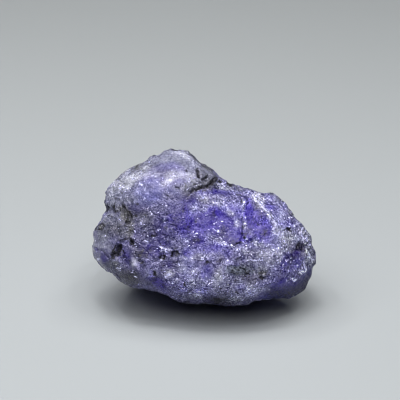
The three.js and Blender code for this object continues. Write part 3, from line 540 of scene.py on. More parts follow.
    (272, 286, 6, 4, 0, 0.1), (208, 183, 5, 3, -30, -0.25), (184, 192, 5, 5, 0, -0.14), (168, 195, 6, 5, 0, -0.12), (150, 186, 5, 4, 0, -0.10),
    (172, 175, 4, 6, 0, -0.10), (175, 222, 4, 5, 0, -0.14), (130, 228, 9, 5, 0, -0.12), (135, 245, 7, 5, 0, -0.18), (134, 273, 6, 4, 20, -0.22),
    (222, 235, 5, 5, 0, -0.18), (233, 243, 5, 4, 0, -0.18), (217, 275, 4, 6, 0, -0.18), (221, 299, 7, 3, 0, -0.22), (197, 260, 5, 4, 0, -0.12),
    (222, 258, 4, 4, 0, -0.12), (238, 258, 5, 4, 0, -0.08), (253, 278, 4, 4, 0, -0.18), (290, 258, 4, 5, 0, -0.12), (308, 285, 5, 9, -30, -0.2),
    (296, 297, 8, 3, 0, -0.2), (240, 205, 4, 5, 0, -0.12), (198, 218, 5, 4, 0, -0.10), (210, 235, 5, 3, 0, -0.08), (274, 226, 4, 4, 0, -0.14),
    (288, 240, 4, 5, 0, -0.14), (252, 193, 5, 2, 10, -0.15),
    (258, 240, 6, 4, 0, 0.30), (195, 206, 8, 4, -20, 0.18), (184, 212, 4, 4, 0, 0.15), (228, 208, 14, 4, 0, 0.15), (248, 201, 5, 5, 0, 0.18),
    (280, 216, 6, 6, 30, 0.15), (278, 230, 6, 6, 0, 0.15), (305, 250, 6, 12, -10, 0.22), (281, 262, 5, 6, 0, 0.15), (242, 284, 5, 5, 0, 0.22),
    (203, 270, 4, 4, 0, 0.12), (187, 250, 5, 6, 0, 0.15), (148, 275, 4, 5, 0, 0.18), (223, 183, 8, 4, 8, 0.18), (206, 170, 5, 5, 0, 0.18),
    (114, 192, 6, 5, 0, 0.10), (135, 190, 5, 4, 0, 0.12), (122, 208, 8, 5, 0, 0.15), (165, 190, 20, 6, -10, -0.14), (172, 174, 5, 6, 0, -0.12),
    (208, 182, 5, 4, 0, -0.2), (206, 198, 4, 3, 0, -0.15), (132, 245, 8, 5, 0, -0.2), (148, 230, 12, 8, 0, -0.14), (175, 223, 5, 6, 0, -0.15),
    (222, 234, 5, 6, 0, -0.18), (232, 243, 5, 5, 0, -0.16), (197, 258, 6, 5, 0, -0.12), (217, 275, 5, 7, 0, -0.2), (221, 299, 7, 4, 0, -0.25),
    (132, 275, 7, 4, 20, -0.22), (306, 287, 7, 10, -30, -0.18), (98, 260, 6, 6, 0, -0.15), (205, 287, 5, 4, 0, 0.15), (233, 297, 5, 3, 0, 0.15),
    (232, 222, 8, 12, 0, 0.04), (150, 186, 6, 4, 0, -0.10),
    (170, 158, 22, 8, 5, 0.16), (112, 200, 8, 8, 0, 0.12), (104, 262, 8, 8, 30, -0.22), (126, 277, 14, 6, 20, -0.22), (302, 292, 12, 5, -20, -0.22), (234, 222, 6, 8, 0, -0.06),
    (275, 262, 12, 10, 0, -0.06), (284, 290, 16, 5, -12, -0.12), (216, 198, 12, 5, 0, 0.06),
    (125, 183, 6, 4, 0, -0.12), (162, 184, 5, 5, 0, -0.15), (168, 195, 6, 4, 0, -0.15), (184, 196, 6, 5, 0, -0.2), (209, 186, 6, 4, 0, -0.2),
    (145, 210, 6, 5, 0, -0.2), (130, 220, 6, 6, 0, -0.12), (118, 229, 6, 5, 0, -0.15), (152, 238, 8, 14, 0, -0.2), (176, 221, 5, 7, 0, -0.18),
    (195, 238, 6, 5, 0, -0.22), (200, 222, 5, 4, 0, -0.12), (222, 231, 4, 6, 0, -0.2), (232, 243, 5, 5, 0, -0.12), (127, 247, 6, 5, 0, -0.2),
    (132, 260, 5, 6, 0, -0.12), (147, 254, 10, 5, 0, -0.2), (180, 247, 6, 4, 0, -0.15), (175, 266, 10, 5, 0, -0.15), (219, 270, 4, 5, 0, -0.12),
    (252, 280, 5, 4, 0, -0.15), (136, 277, 8, 4, 20, -0.25), (262, 213, 4, 6, -30, -0.15), (275, 225, 4, 5, 0, -0.15), (259, 249, 4, 4, 0, -0.12),
    (301, 249, 5, 3, 0, -0.15), (155, 158, 10, 5, -20, 0.2), (190, 166, 6, 6, 0, 0.18), (207, 170, 5, 4, 0, 0.2), (136, 190, 6, 5, 0, 0.15),
    (187, 183, 5, 4, 0, 0.18), (195, 205, 5, 4, 0, 0.1), (206, 211, 5, 4, 0, 0.12), (221, 205, 6, 6, 0, 0.12), (243, 215, 5, 6, 0, 0.15),
    (270, 207, 5, 4, 0, 0.15), (280, 215, 5, 5, 0, 0.15), (223, 184, 6, 4, 0, 0.2), (272, 198, 7, 4, 10, 0.2), (104, 210, 5, 8, 0, 0.15),
    (97, 228, 4, 5, 0, 0.12), (97, 248, 4, 5, 0, 0.15), (280, 238, 6, 5, 0, 0.15), (298, 238, 5, 4, 0, 0.18), (275, 250, 7, 6, 0, 0.12),
    (306, 258, 6, 8, 0, 0.15), (148, 275, 4, 4, 0, 0.15), (194, 275, 5, 5, 0, 0.12), (227, 281, 4, 4, 0, 0.15), (240, 286, 5, 5, 0, 0.18),
    (183, 290, 5, 3, 0, 0.15), (200, 290, 6, 3, 0, 0.12), (255, 293, 6, 3, 0, 0.15), (228, 263, 5, 4, 0, 0.12), (218, 245, 4, 4, 0, 0.1),
    (165, 174, 10, 7, 0, -0.30), (190, 200, 9, 7, -40, -0.45), (179, 212, 7, 8, -30, -0.45), (152, 252, 11, 6, 10, -0.50), (225, 195, 12, 5, 10, -0.35),
    (258, 200, 6, 5, 30, -0.35), (268, 214, 5, 6, -30, -0.30), (205, 282, 16, 8, 0, 0.45), (187, 283, 9, 6, 0, 0.30), (252, 292, 12, 5, -15, 0.45),
    (286, 232, 12, 9, 20, 0.35), (276, 246, 8, 5, 0, 0.35), (130, 212, 9, 9, 0, -0.40), (158, 216, 10, 8, 0, -0.35), (107, 228, 10, 8, 0, -0.35),
    (143, 238, 14, 9, 0, -0.25), (262, 276, 10, 5, 0, -0.40), (240, 277, 10, 5, 0, -0.20), (305, 285, 8, 10, 20, -0.40), (172, 262, 8, 5, 0, -0.35),
    (197, 184, 9, 6, -20, -0.40), (228, 214, 6, 6, 0, -0.30), (224, 230, 7, 7, 0, -0.25), (212, 214, 6, 7, 0, -0.25), (266, 232, 5, 5, 0, -0.25),
    (310, 255, 5, 10, 0, 0.30), (293, 268, 7, 8, 0, 0.20), (110, 190, 6, 9, 0, 0.30), (118, 187, 7, 5, 0, 0.15), (205, 256, 10, 4, 0, -0.15),
    (178, 236, 10, 8, 0, -0.15), (120, 270, 9, 6, 0, -0.15), (185, 152, 14, 4, 10, 0.15), (283, 205, 7, 6, 0, 0.20), (222, 262, 6, 5, 0, -0.20),
    (144, 172, 10, 5, -20, -0.15), (220, 301, 10, 4, 0, -0.40), (300, 247, 5, 4, 0, -0.30), (202, 170, 7, 6, 0, -0.25), (250, 233, 6, 5, 0, -0.20),
    (165, 172, 7, 6, 0, -0.25), (258, 205, 5, 5, 0, -0.30), (155, 247, 22, 5, 3, -0.30), (132, 258, 6, 5, 0, -0.25), (112, 231, 7, 6, 0, -0.30),
    (148, 218, 10, 8, 0, -0.22), (225, 222, 6, 8, 0, -0.20), (265, 233, 4, 5, 0, -0.25), (245, 278, 7, 4, 0, -0.20), (298, 286, 12, 6, -25, -0.35),
    (283, 291, 14, 5, -12, -0.35), (308, 278, 6, 7, 0, -0.25), (190, 283, 9, 6, 0, 0.30), (207, 278, 8, 7, 0, 0.20), (296, 265, 6, 6, 0, 0.30),
    (133, 212, 12, 8, 0, -0.30), (118, 232, 8, 7, 0, -0.25), (130, 266, 8, 12, 0, -0.35), (143, 250, 7, 6, 0, -0.2), (172, 265, 14, 7, 0, -0.30),
    (195, 240, 5, 6, 0, -0.25), (203, 216, 14, 3, 0, -0.12), (223, 222, 6, 10, 0, -0.15), (262, 208, 5, 7, -30, -0.25), (265, 232, 5, 6, 0, -0.25),
    (255, 255, 7, 5, 0, -0.15), (290, 255, 4, 8, 0, -0.25), (250, 280, 6, 5, 0, -0.30), (118, 184, 7, 5, 0, -0.18), (168, 195, 5, 4, 0, -0.2),
    (203, 199, 5, 4, 0, -0.15), (222, 193, 7, 4, 0, -0.12), (190, 165, 7, 6, 0, 0.15), (176, 150, 8, 3, 0, 0.12), (128, 173, 5, 4, 0, 0.22),
    (183, 181, 5, 4, 0, 0.12), (242, 213, 4, 4, 0, 0.25), (232, 208, 5, 4, 0, 0.1), (282, 217, 5, 5, 0, 0.25), (296, 237, 5, 6, 0, 0.25),
    (288, 228, 5, 4, 0, 0.12), (310, 257, 4, 7, 0, 0.25), (222, 245, 5, 4, 0, 0.12), (183, 287, 8, 5, 0, 0.2), (204, 292, 9, 5, 0, 0.30),
    (233, 283, 6, 8, 0, 0.25), (150, 275, 5, 5, 0, 0.2), (278, 200, 6, 5, 0, 0.2), (256, 240, 6, 4, 0, 0.12), (240, 190, 12, 3, 8, 0.15),
    (310, 252, 4, 6, 0, 0.15), (178, 153, 24, 6, 8, 0.25), (197, 163, 7, 8, 40, 0.22), (125, 177, 8, 5, -30, 0.15), (110, 190, 5, 8, 0, 0.12),
    (309, 258, 5, 16, 0, 0.20), (286, 206, 7, 8, 30, 0.22), (270, 197, 8, 4, 0, 0.2), (136, 210, 12, 10, 0, -0.2), (162, 230, 14, 14, 0, -0.2),
    (194, 239, 6, 5, 0, -0.2), (192, 196, 9, 5, 0, -0.2), (212, 187, 5, 4, 0, -0.25), (138, 254, 8, 9, 0, -0.2), (222, 228, 4, 6, 0, -0.15),
    (132, 277, 10, 6, 15, -0.15), (212, 300, 14, 3, 0, -0.3), (300, 249, 6, 4, 0, -0.2), (262, 208, 5, 6, 0, -0.15), (248, 233, 5, 4, 0, -0.15),
    (256, 251, 8, 5, 0, -0.12), (280, 247, 6, 5, 0, 0.2), (136, 190, 6, 5, 0, 0.12), (221, 206, 6, 4, 0, 0.12), (222, 182, 8, 4, 0, 0.2), (135, 208, 12, 7, 0, -0.22), (118, 229, 8, 7, 0, -0.22), (140, 250, 6, 10, 0, -0.22),
    (133, 273, 10, 7, 0, -0.32), (157, 229, 11, 7, 0, -0.25), (172, 267, 12, 6, 0, -0.25), (195, 240, 5, 6, 0, -0.20), (222, 229, 5, 7, 0, -0.20),
    (251, 258, 6, 6, 0, -0.22), (252, 281, 6, 5, 0, -0.20), (166, 196, 6, 4, 0, -0.18), (186, 195, 6, 5, 0, -0.20), (217, 186, 5, 4, 0, -0.20),
    (297, 248, 9, 5, 0, -0.25), (130, 226, 6, 9, 0, -0.20), (180, 246, 10, 5, 0, -0.12), (124, 282, 12, 5, 10, -0.20), (127, 176, 6, 4, 0, 0.22),
    (150, 180, 6, 4, 0, 0.12), (200, 190, 6, 4, 0, 0.20), (222, 181, 4, 3, 0, 0.20), (190, 214, 5, 5, 0, 0.15), (214, 203, 6, 5, 0, 0.15),
    (243, 213, 4, 5, 0, 0.20), (252, 200, 4, 5, 0, 0.12), (280, 217, 5, 5, 0, 0.20), (280, 236, 6, 6, 0, 0.20), (297, 238, 6, 4, 0, 0.15),
    (222, 245, 4, 4, 0, 0.15), (240, 251, 5, 4, 0, 0.12), (311, 258, 4, 8, 0, 0.35), (303, 268, 6, 6, 0, 0.30), (289, 269, 6, 6, 0, 0.20),
    (205, 292, 9, 4, 0, 0.20), (185, 287, 8, 4, 0, 0.15), (151, 275, 5, 5, 0, 0.15), (195, 157, 7, 4, 30, 0.20), (175, 150, 8, 3, 0, 0.12), (107, 204, 5, 5, 0, 0.35), (198, 163, 7, 5, 40, 0.15), (155, 198, 8, 5, 0, 0.12), (125, 272, 10, 5, 0, -0.15),
]
GRITTY = [  # where the finest grain is sharpest
    (257, 219, 11, 16, -15, 1.1), (185, 224, 10, 12, 0, 1.1), (292, 268, 14, 13, 0, 1.2), (162, 232, 18, 16, 0, 0.65), (107, 236, 10, 12, 0, 1.1),
    (226, 197, 22, 8, 12, 0.75), (220, 245, 30, 9, 0, 0.55), (128, 262, 20, 10, 20, 0.45), (245, 270, 20, 8, 0, 0.2), (150, 185, 34, 16, -20, 0.4),
]
QUIET = [  # where the grain hardly shows
    (152, 182, 36, 18, -22, 0.95), (180, 168, 24, 16, 20, 0.7), (104, 240, 11, 12, 0, 0.8), (101, 260, 9, 8, 0, 0.5), (232, 238, 10, 5, -10, 0.5), (134, 262, 5, 7, 0, 0.4),
    (282, 238, 12, 8, 0, 0.55), (207, 172, 10, 7, 40, 0.7), (203, 190, 8, 6, 0, 0.3),
    (120, 196, 14, 12, 0, 0.5), (148, 205, 26, 13, 0, 0.6), (176, 197, 12, 9, 0, 0.4), (110, 222, 10, 14, 0, 0.4), (132, 222, 12, 10, 0, 0.2),
    (122, 235, 10, 7, 0, 0.4), (190, 268, 16, 9, 0, 0.5), (203, 251, 18, 6, 0, 0.4), (134, 266, 10, 6, 20, 0.35), (126, 276, 12, 5, 20, -0.25), (216, 276, 12, 7, 0, 0.4),
    (188, 258, 12, 5, 0, 0.3), (150, 268, 14, 6, 0, 0.3), (288, 286, 14, 7, -15, 0.3), (226, 258, 10, 6, 0, 0.25),
    (206, 182, 15, 8, -20, -0.6), (226, 186, 12, 4, 8, -0.4), (250, 195, 14, 8, 10, -0.5), (265, 205, 14, 14, 0, -0.35), (250, 238, 14, 7, 0, -0.5),
    (297, 228, 10, 14, -30, -0.3), (232, 212, 14, 10, 0, -0.1), (170, 178, 7, 8, 0, -0.3), (308, 245, 7, 14, 0, -0.6), (195, 290, 16, 6, 0, -0.6),
    (228, 290, 10, 6, 0, -0.3), (178, 286, 12, 6, 0, -0.5), (304, 272, 7, 10, 0, -0.4), (252, 282, 14, 9, 0, 0.4), (264, 262, 16, 9, 0, 0.45), (262, 248, 12, 6, 0, 0.3), (150, 178, 30, 12, -20, 0.3), (183, 220, 11, 12, 0, -0.5), (210, 298, 18, 4, 0, -0.5),
]
FACETS = [  # faces of one clean break, a few darkened with painted shade where they turn down or lie in a notch: outline, how it changes the colour, how smooth it is
    ([(290, 250), (298, 248), (306, 249), (308, 254), (300, 259), (292, 258)], (0.98, 0.96, 0.80), 0.2),
    ([(217, 224), (222, 220), (227, 224), (228, 232), (223, 237), (218, 233)], (0.92, 0.84, 1.18), 0.1),
    # painted shade: the notch at the right end is darkened
    ([(301, 240.5), (304.5, 245), (306.5, 249), (303, 251), (298, 252), (294, 251), (296.8, 246.6)], (0.50, 0.47, 0.60), 0.75),
    # painted shade: the underside at the bottom right, turned to the floor, is darkened
    ([(256, 299.5), (268, 294.5), (283, 288), (293, 285), (300, 278), (305, 272), (314, 264), (320, 275), (314, 290), (304, 302), (280, 304)], (0.49, 0.49, 0.92), 1.0),
    ([(90, 246), (100, 250.5), (105, 256), (109, 262), (111, 272), (100, 270), (88, 258)], (0.74, 0.74, 0.80), 0.8),
    ([(131, 257), (136, 255), (138.5, 262), (137, 268), (132, 268.5), (130.5, 262)], (1.25, 1.25, 1.22), 0.8),
    ([(92, 230), (100, 226), (108, 230), (114, 238), (116, 244), (111, 252), (106, 256), (101, 250.5), (92, 247)], (0.92, 0.92, 0.90), 0.7),
    ([(122, 244), (129, 246), (130, 256), (127, 264), (121, 258)], (0.80, 0.78, 0.90), 0.5),
    ([(295, 250), (286, 258), (282, 268), (281, 280), (275, 288), (283, 288), (293, 285), (303, 273), (304.5, 262), (303, 250), (299.5, 242)], (0.92, 0.90, 0.98), 0.0),
    ([(197, 171), (201, 166), (208, 166), (214, 172), (215.5, 177), (212, 182), (205, 184), (201, 180)], (0.90, 0.89, 0.86), 0.6),
    ([(246, 199), (250, 197), (252, 203), (254, 212), (258, 220), (264, 228), (268, 234), (262, 236), (255, 231), (249, 226), (246.5, 216), (245.5, 207)],
     (0.92, 0.87, 1.0), 0.1),
    ([(244, 233), (248, 231.5), (252, 235), (254, 238), (250, 240.5), (246, 241)], (0.84, 0.80, 0.92), 0.0),
    ([(219, 231), (226, 230), (233, 234), (241, 233), (242, 238), (236, 242), (228, 241.5), (222, 238)], (0.86, 0.80, 1.0), 0.35),
    ([(212.5, 206), (216, 204), (219, 207), (218, 214), (217, 219), (214, 218), (212.5, 213)], (0.82, 0.76, 0.96), 0.2),
    ([(190, 216), (197, 213), (206, 215), (213, 219), (216, 226), (212, 230), (204, 229), (197, 233), (190, 228), (187, 222)], (0.92, 0.88, 1.02), 0.1),
    ([(225, 214), (231, 210), (238, 214), (241, 222), (239, 229), (232, 231), (226, 226), (224, 220)], (1.10, 1.12, 1.04), 0.15),
    ([(244, 211), (246.5, 213), (246.5, 220), (247.5, 228), (243.8, 227), (243.3, 220)], (1.16, 1.16, 1.08), 0.0),
    ([(203, 194), (209, 193), (213, 196), (211, 200), (205, 200.5)], (1.16, 1.16, 1.08), 0.4),
    ([(226, 268), (230, 264.5), (238, 265), (247, 268), (254, 271), (252, 275), (245, 274), (238, 275.5), (231, 275), (226.5, 272)], (0.78, 0.84, 0.82), 0.5),
    ([(164, 270), (171, 269), (175, 273), (173, 278), (166, 278)], (1.18, 1.18, 1.10), 0.5),
    ([(177, 265), (184, 264), (187, 268), (184, 273), (178, 272)], (1.08, 1.10, 1.08), 0.5),
    ([(202, 266), (209, 264), (213, 269), (211, 278), (204, 280), (201, 273)], (0.88, 0.86, 1.0), 0.2),
    ([(216, 272), (222, 264), (228, 265), (226, 275), (222, 286), (214, 287), (212, 280)], (1.12, 1.14, 1.08), 0.4),
    ([(194.5, 291), (198, 290), (202.5, 293), (201, 297), (195, 297)], (1.30, 1.30, 1.22), 0.5),
    # painted shade: a darker strip along the bottom
    ([(203, 296), (209, 293), (216, 294), (221, 297), (219, 303), (205, 302)], (0.62, 0.60, 0.72), 0.3),
    ([(171, 185), (176, 180), (181, 186), (188, 189), (186, 194), (176, 191)], (0.86, 0.86, 0.88), 0.2),
    ([(166, 175), (171, 172), (175, 174), (174, 180), (171, 185), (166.5, 182)], (1.06, 1.06, 1.04), 0.3),
    ([(119, 181), (124, 177), (131, 175), (136, 177), (131, 183), (127, 189), (121, 188)], (1.06, 1.06, 1.03), 0.3),
    ([(138, 183), (150, 179), (160, 182), (165, 188), (160, 198), (148, 200), (139, 194)], (0.94, 0.94, 1.04), 0.4),
    # painted shade: the fold into the underside at the bottom right is darkened
    ([(262, 291), (270, 284), (280, 281), (296, 283), (290, 286), (283, 288), (268, 294.5), (258, 299)], (0.80, 0.80, 0.96), 0.6),
]
OUTLINE_SHADE = [  # painted shade: dull dark grey along the widest section, where the surface turns away
    (205, 168, 16, 10, 38, 0.9), (306, 235, 10, 25, -15, 0.7), (282, 205, 16, 10, 30, 0.55), (240, 189, 18, 5, 8, 0.5), (312, 265, 6, 20, 0, 0.7),
    (188, 155, 12, 6, 20, 0.6), (98, 228, 6, 8, 0, 0.5), (110, 270, 16, 8, 30, 0.4), (165, 150, 14, 5, 0, 0.35),
]
PAINTED_GLINT_SHARE = [  # where painted highlights on clean faces are many, and what share of the grains they are
    (256, 197, 6, 4, 30, 0.24), (263, 206, 5, 8, -35, 0.26), (271, 218, 4.5, 9, -30, 0.24), (277, 229, 6, 6, 0, 0.2), (303, 232, 6, 14, -20, 0.34),
    (296, 224, 6, 5, 0, 0.2), (290, 212, 5, 8, -30, 0.15), (203, 196, 5, 3, 0, 0.35), (196, 205, 6, 4, 0, 0.12), (217, 231, 4, 4, 0, 0.3),
    (209, 222, 8, 8, 0, 0.04), (225, 215, 8, 10, -20, 0.05), (237, 222, 4, 3, 30, 0.15), (222, 243, 7, 3, 20, 0.35), (231, 246, 3, 3, 0, 0.4),
    (188, 241, 7, 4, 0, 0.22), (196, 232, 4, 3, 0, 0.3), (246, 238, 4, 3, 0, 0.35), (243, 205, 3, 8, 0, 0.25), (248, 193, 5, 3, 0, 0.3),
    (236, 194, 3, 2, 0, 0.4), (164, 248.5, 6, 3, 20, 0.65), (142, 222, 4, 4, 0, 0.07), (152, 235, 3, 2, 0, 0.3), (146, 240, 6, 3, 0, 0.2),
    (133, 244, 4, 2, 0, 0.3), (150, 213, 6, 4, 0, 0.05), (132, 226, 8, 12, 0, 0.12), (170, 177, 7, 5, -30, 0.22), (118, 184, 6, 5, -20, 0.20),
    (125, 187, 5, 2, 0, 0.3), (135, 178, 9, 5, -25, 0.14), (141, 185, 4, 3, 0, 0.22), (150, 180, 14, 8, -20, 0.06), (160, 190, 20, 10, 0, 0.05),
    (190, 178, 8, 5, 0, 0.12), (134, 262, 3, 5, 10, 0.35), (169, 273, 5, 4, 10, 0.35), (181, 268, 8, 6, 0, 0.15), (196, 256, 18, 4, -4, 0.12),
    (193, 272, 5, 4, 0, 0.18), (198, 295, 4, 2.5, 10, 0.4), (220, 272, 5, 9, 25, 0.14), (216, 284, 10, 8, 0, 0.10), (240, 262, 14, 5, 0, 0.08),
    (257, 259.5, 6, 1, 0, 0.5), (265, 253, 16, 6, -8, 0.14), (252, 286, 10, 7, -15, 0.14), (238, 296, 14, 4, 0, 0.10), (284, 262, 4, 10, 10, 0.22),
    (291, 282, 6, 4, 0, 0.2), (302, 272, 3, 3, 0, 0.55), (295, 279.5, 3, 1.5, 0, 0.5), (296, 262, 9, 10, 0, 0.12), (279, 246.5, 4, 2, 0, 0.4),
    (127, 274, 10, 5, 0, 0.05), (118, 267, 3, 2, 0, 0.4), (97, 258, 2.5, 2, 0, 0.3), (157, 262, 10, 8, 0, 0.08),
]
CLUSTERS = [  # graphite broken up among the grains: centre, half sizes, turn, share
    (116.5, 250.5, 5, 6.5, 25, 0.62), (128, 214, 6, 6, 0, 0.65), (123, 206, 3, 3, 0, 0.6), (113, 207, 2.5, 4, 10, 0.8), (101, 226, 5, 3.5, -20, 0.30),
    (175, 253, 4.5, 4.5, 0, 0.28), (162, 257, 3.5, 3.5, 0, 0.30), (131, 241, 4, 3, 0, 0.65), (234, 270, 7, 4, 10, 0.30), (155, 273, 4.5, 4.5, 0, 0.45),
    (212, 181, 4, 3, -40, 0.4), (203, 186, 6, 2.2, -22, 0.6), (195, 189.5, 4, 2.2, -30, 0.7), (204, 176, 5, 2, -35, 0.35), (222, 180, 4, 1.6, 5, 0.8), (229.5, 182.5, 3, 2, 8, 0.8), (265, 273, 6, 4, 0, 0.30), (248, 273, 7, 4, 20, 0.25), (206, 173, 9, 7, 40, 0.14), (110, 196, 9, 12, 0, 0.10),
    (130, 168, 16, 5, -28, 0.14), (130, 228, 8, 14, 0, 0.16), (228, 184, 14, 3, 8, 0.10), (308, 240, 6, 22, -12, 0.14), (188, 187, 10, 6, -30, 0.14),
    (242, 240, 5, 3, 0, 0.35), (252, 240, 4, 2, 0, 0.3), (190, 254, 26, 8, 0, 0.03), (240, 278, 18, 9, 0, 0.08),
    (140, 256, 4, 7, 0, 0.30), (165, 290, 16, 6, 15, 0.06), (130, 278, 12, 7, 0, 0.10),
]
DEEP_VIOLET_AND_SHADE = [  # dark violet spots, partly the stone's own deep colour and partly painted shade: centre, half sizes, turn, share
    (301.0, 246.5, 4.0, 4.4, 0, 0.85), (297, 251, 5, 3, -20, 0.3), (304, 249, 2.4, 2, 30, 0.6), (250, 238, 4, 1.8, 10, 0.6), (244.5, 236, 2.2, 3.2, 0, 0.7),
    (213.5, 211, 2.4, 6, -10, 0.32), (185, 208, 2.4, 6, 8, 0.40), (190.5, 226, 3.4, 3.2, 0, 0.45), (197, 239, 4.4, 2.6, 0, 0.5), (178, 223, 5, 4, 0, 0.30),
    (248, 196, 3.2, 5, 0, 0.38), (251, 206, 2.4, 6, 0, 0.30), (263, 236, 4.5, 3, 30, 0.42), (155, 245, 9, 4, 0, 0.28), (147, 252, 6, 4, 0, 0.40),
    (141, 256, 4, 5, 0, 0.45), (168, 262, 5, 3, 0, 0.35), (187, 253, 4, 2, 0, 0.4), (152, 232, 5, 3, 0, 0.35), (165, 226, 7, 8, 0, 0.16),
    (290, 259, 5, 6, 0, 0.32), (284, 270, 3, 7, 10, 0.35), (297, 268, 6, 5, 0, 0.22), (229, 258, 5, 2, -20, 0.4), (205, 186, 6, 2, -20, 0.35),
    (222, 189, 10, 2.4, 10, 0.14), (236, 197, 4, 2, 0, 0.35), (172, 206, 8, 4, 0, 0.18), (124, 256, 4, 8, 0, 0.40), (155, 280, 8, 4, 30, 0.45),
    (214, 214, 0.9, 2.6, 0, 0.8), (195.7, 220.5, 1.6, 2.2, 0, 0.9), (187, 226.5, 1.6, 2.0, 0, 0.9), (198.5, 238.5, 1.4, 1.8, 0, 0.9),
    (194.5, 238.3, 1.2, 1.2, 0, 0.8), (242.4, 221.5, 1.0, 5, -8, 0.5), (182.8, 207.5, 1.0, 4.5, 8, 0.8), (152, 233.9, 2.2, 0.9, 0, 0.9),
    (236.4, 262, 0.9, 2.4, 0, 0.8), (220, 259.5, 2.6, 1.2, -40, 0.8), (246.6, 199, 1.2, 3.4, -20, 0.8), (247, 233, 2.6, 0.9, 0, 0.8),
    (264.5, 232, 2.0, 3.0, -20, 0.7), (292.5, 223, 0.9, 2.2, 10, 0.8), (253, 216, 1.4, 4, -20, 0.6), (258, 224, 3, 1.6, 40, 0.6),
    (285, 250, 2.4, 4.5, 0, 0.45), (293, 256, 5, 3, 0, 0.5), (272, 203, 3, 1.4, 10, 0.6), (276.5, 207.5, 2.4, 2.0, 0, 0.5), (212, 254, 3, 1.0, 10, 0.4),
    (168, 213, 3, 2, 0, 0.5), (176, 217, 3, 2, 20, 0.5), (161, 243, 4, 1.6, 0, 0.5), (142, 232, 3, 2, 0, 0.4), (227, 204, 4, 1.6, -20, 0.35),
    (163, 265, 4, 1.8, 0, 0.6), (177, 261, 3, 1.4, 0, 0.5), (190, 262, 3, 2, 0, 0.3), (206, 288, 4, 2, 0, 0.4), (226, 292, 4, 1.8, 0, 0.5), (243, 283, 3, 1.5, 0, 0.4),
    (162, 284, 9, 3, 20, 0.40), (271, 205, 5, 2.4, 20, 0.3), (233, 240, 6, 2.4, -18, 0.35), (208, 262, 6, 3, 0, 0.3), (205, 285, 10, 5, 0, 0.14),
]
TRIM = [  # where the outline goes in or out a little: centre, half sizes, turn, millimetres
    (312, 247, 5, 9, -10, -0.32), (172, 148, 8, 5, 0, -0.24), (158, 155, 6, 5, -25, -0.14), (142, 161, 8, 5, -25, -0.24), (208, 166, 10, 6, 42, 0.26),
    (263, 192, 6, 4, 0, -0.42), (102, 213, 5, 6, 0, 0.18), (92, 258, 4, 8, 0, 0.20), (236, 185, 7, 4, 10, -0.15),
]
DARK_OUTLINE_SPOTS = [  # a darker broken line along the outline of the widest section: centre, half sizes, turn, strength
    (176, 149.5, 12, 5, 5, 0.7), (195, 158, 9, 4, 40, 0.6), (208, 169, 9, 3, 42, 0.95), (218, 179, 5, 2.5, 20, 0.6), (229.5, 183, 3, 2, 10, 0.7),
    (239, 188, 4, 1.5, 20, 0.35), (252, 192, 5, 1.5, 15, 0.3), (268, 193.5, 9, 2.5, 0, 0.6), (281, 201, 6, 3, 45, 0.75), (290, 213, 6, 3, 50, 0.75),
    (299, 225, 7, 3, 50, 0.8), (306, 238, 7, 3, 65, 0.85), (311, 250, 6, 3, 75, 0.75), (106, 192, 3, 8, 0, 0.6), (105, 205, 3, 8, 0, 0.65),
    (112, 180, 8, 5, -45, 0.38), (125, 169, 10, 5, -35, 0.45), (143, 162, 10, 5, -25, 0.45), (155, 156, 6, 5, -20, 0.40), (97, 228, 3, 8, 20, 0.55),
    (94, 243, 2.5, 8, 0, 0.4), (98, 260, 5, 3, 45, 0.45), (113, 271, 8, 3, 30, 0.5),
]
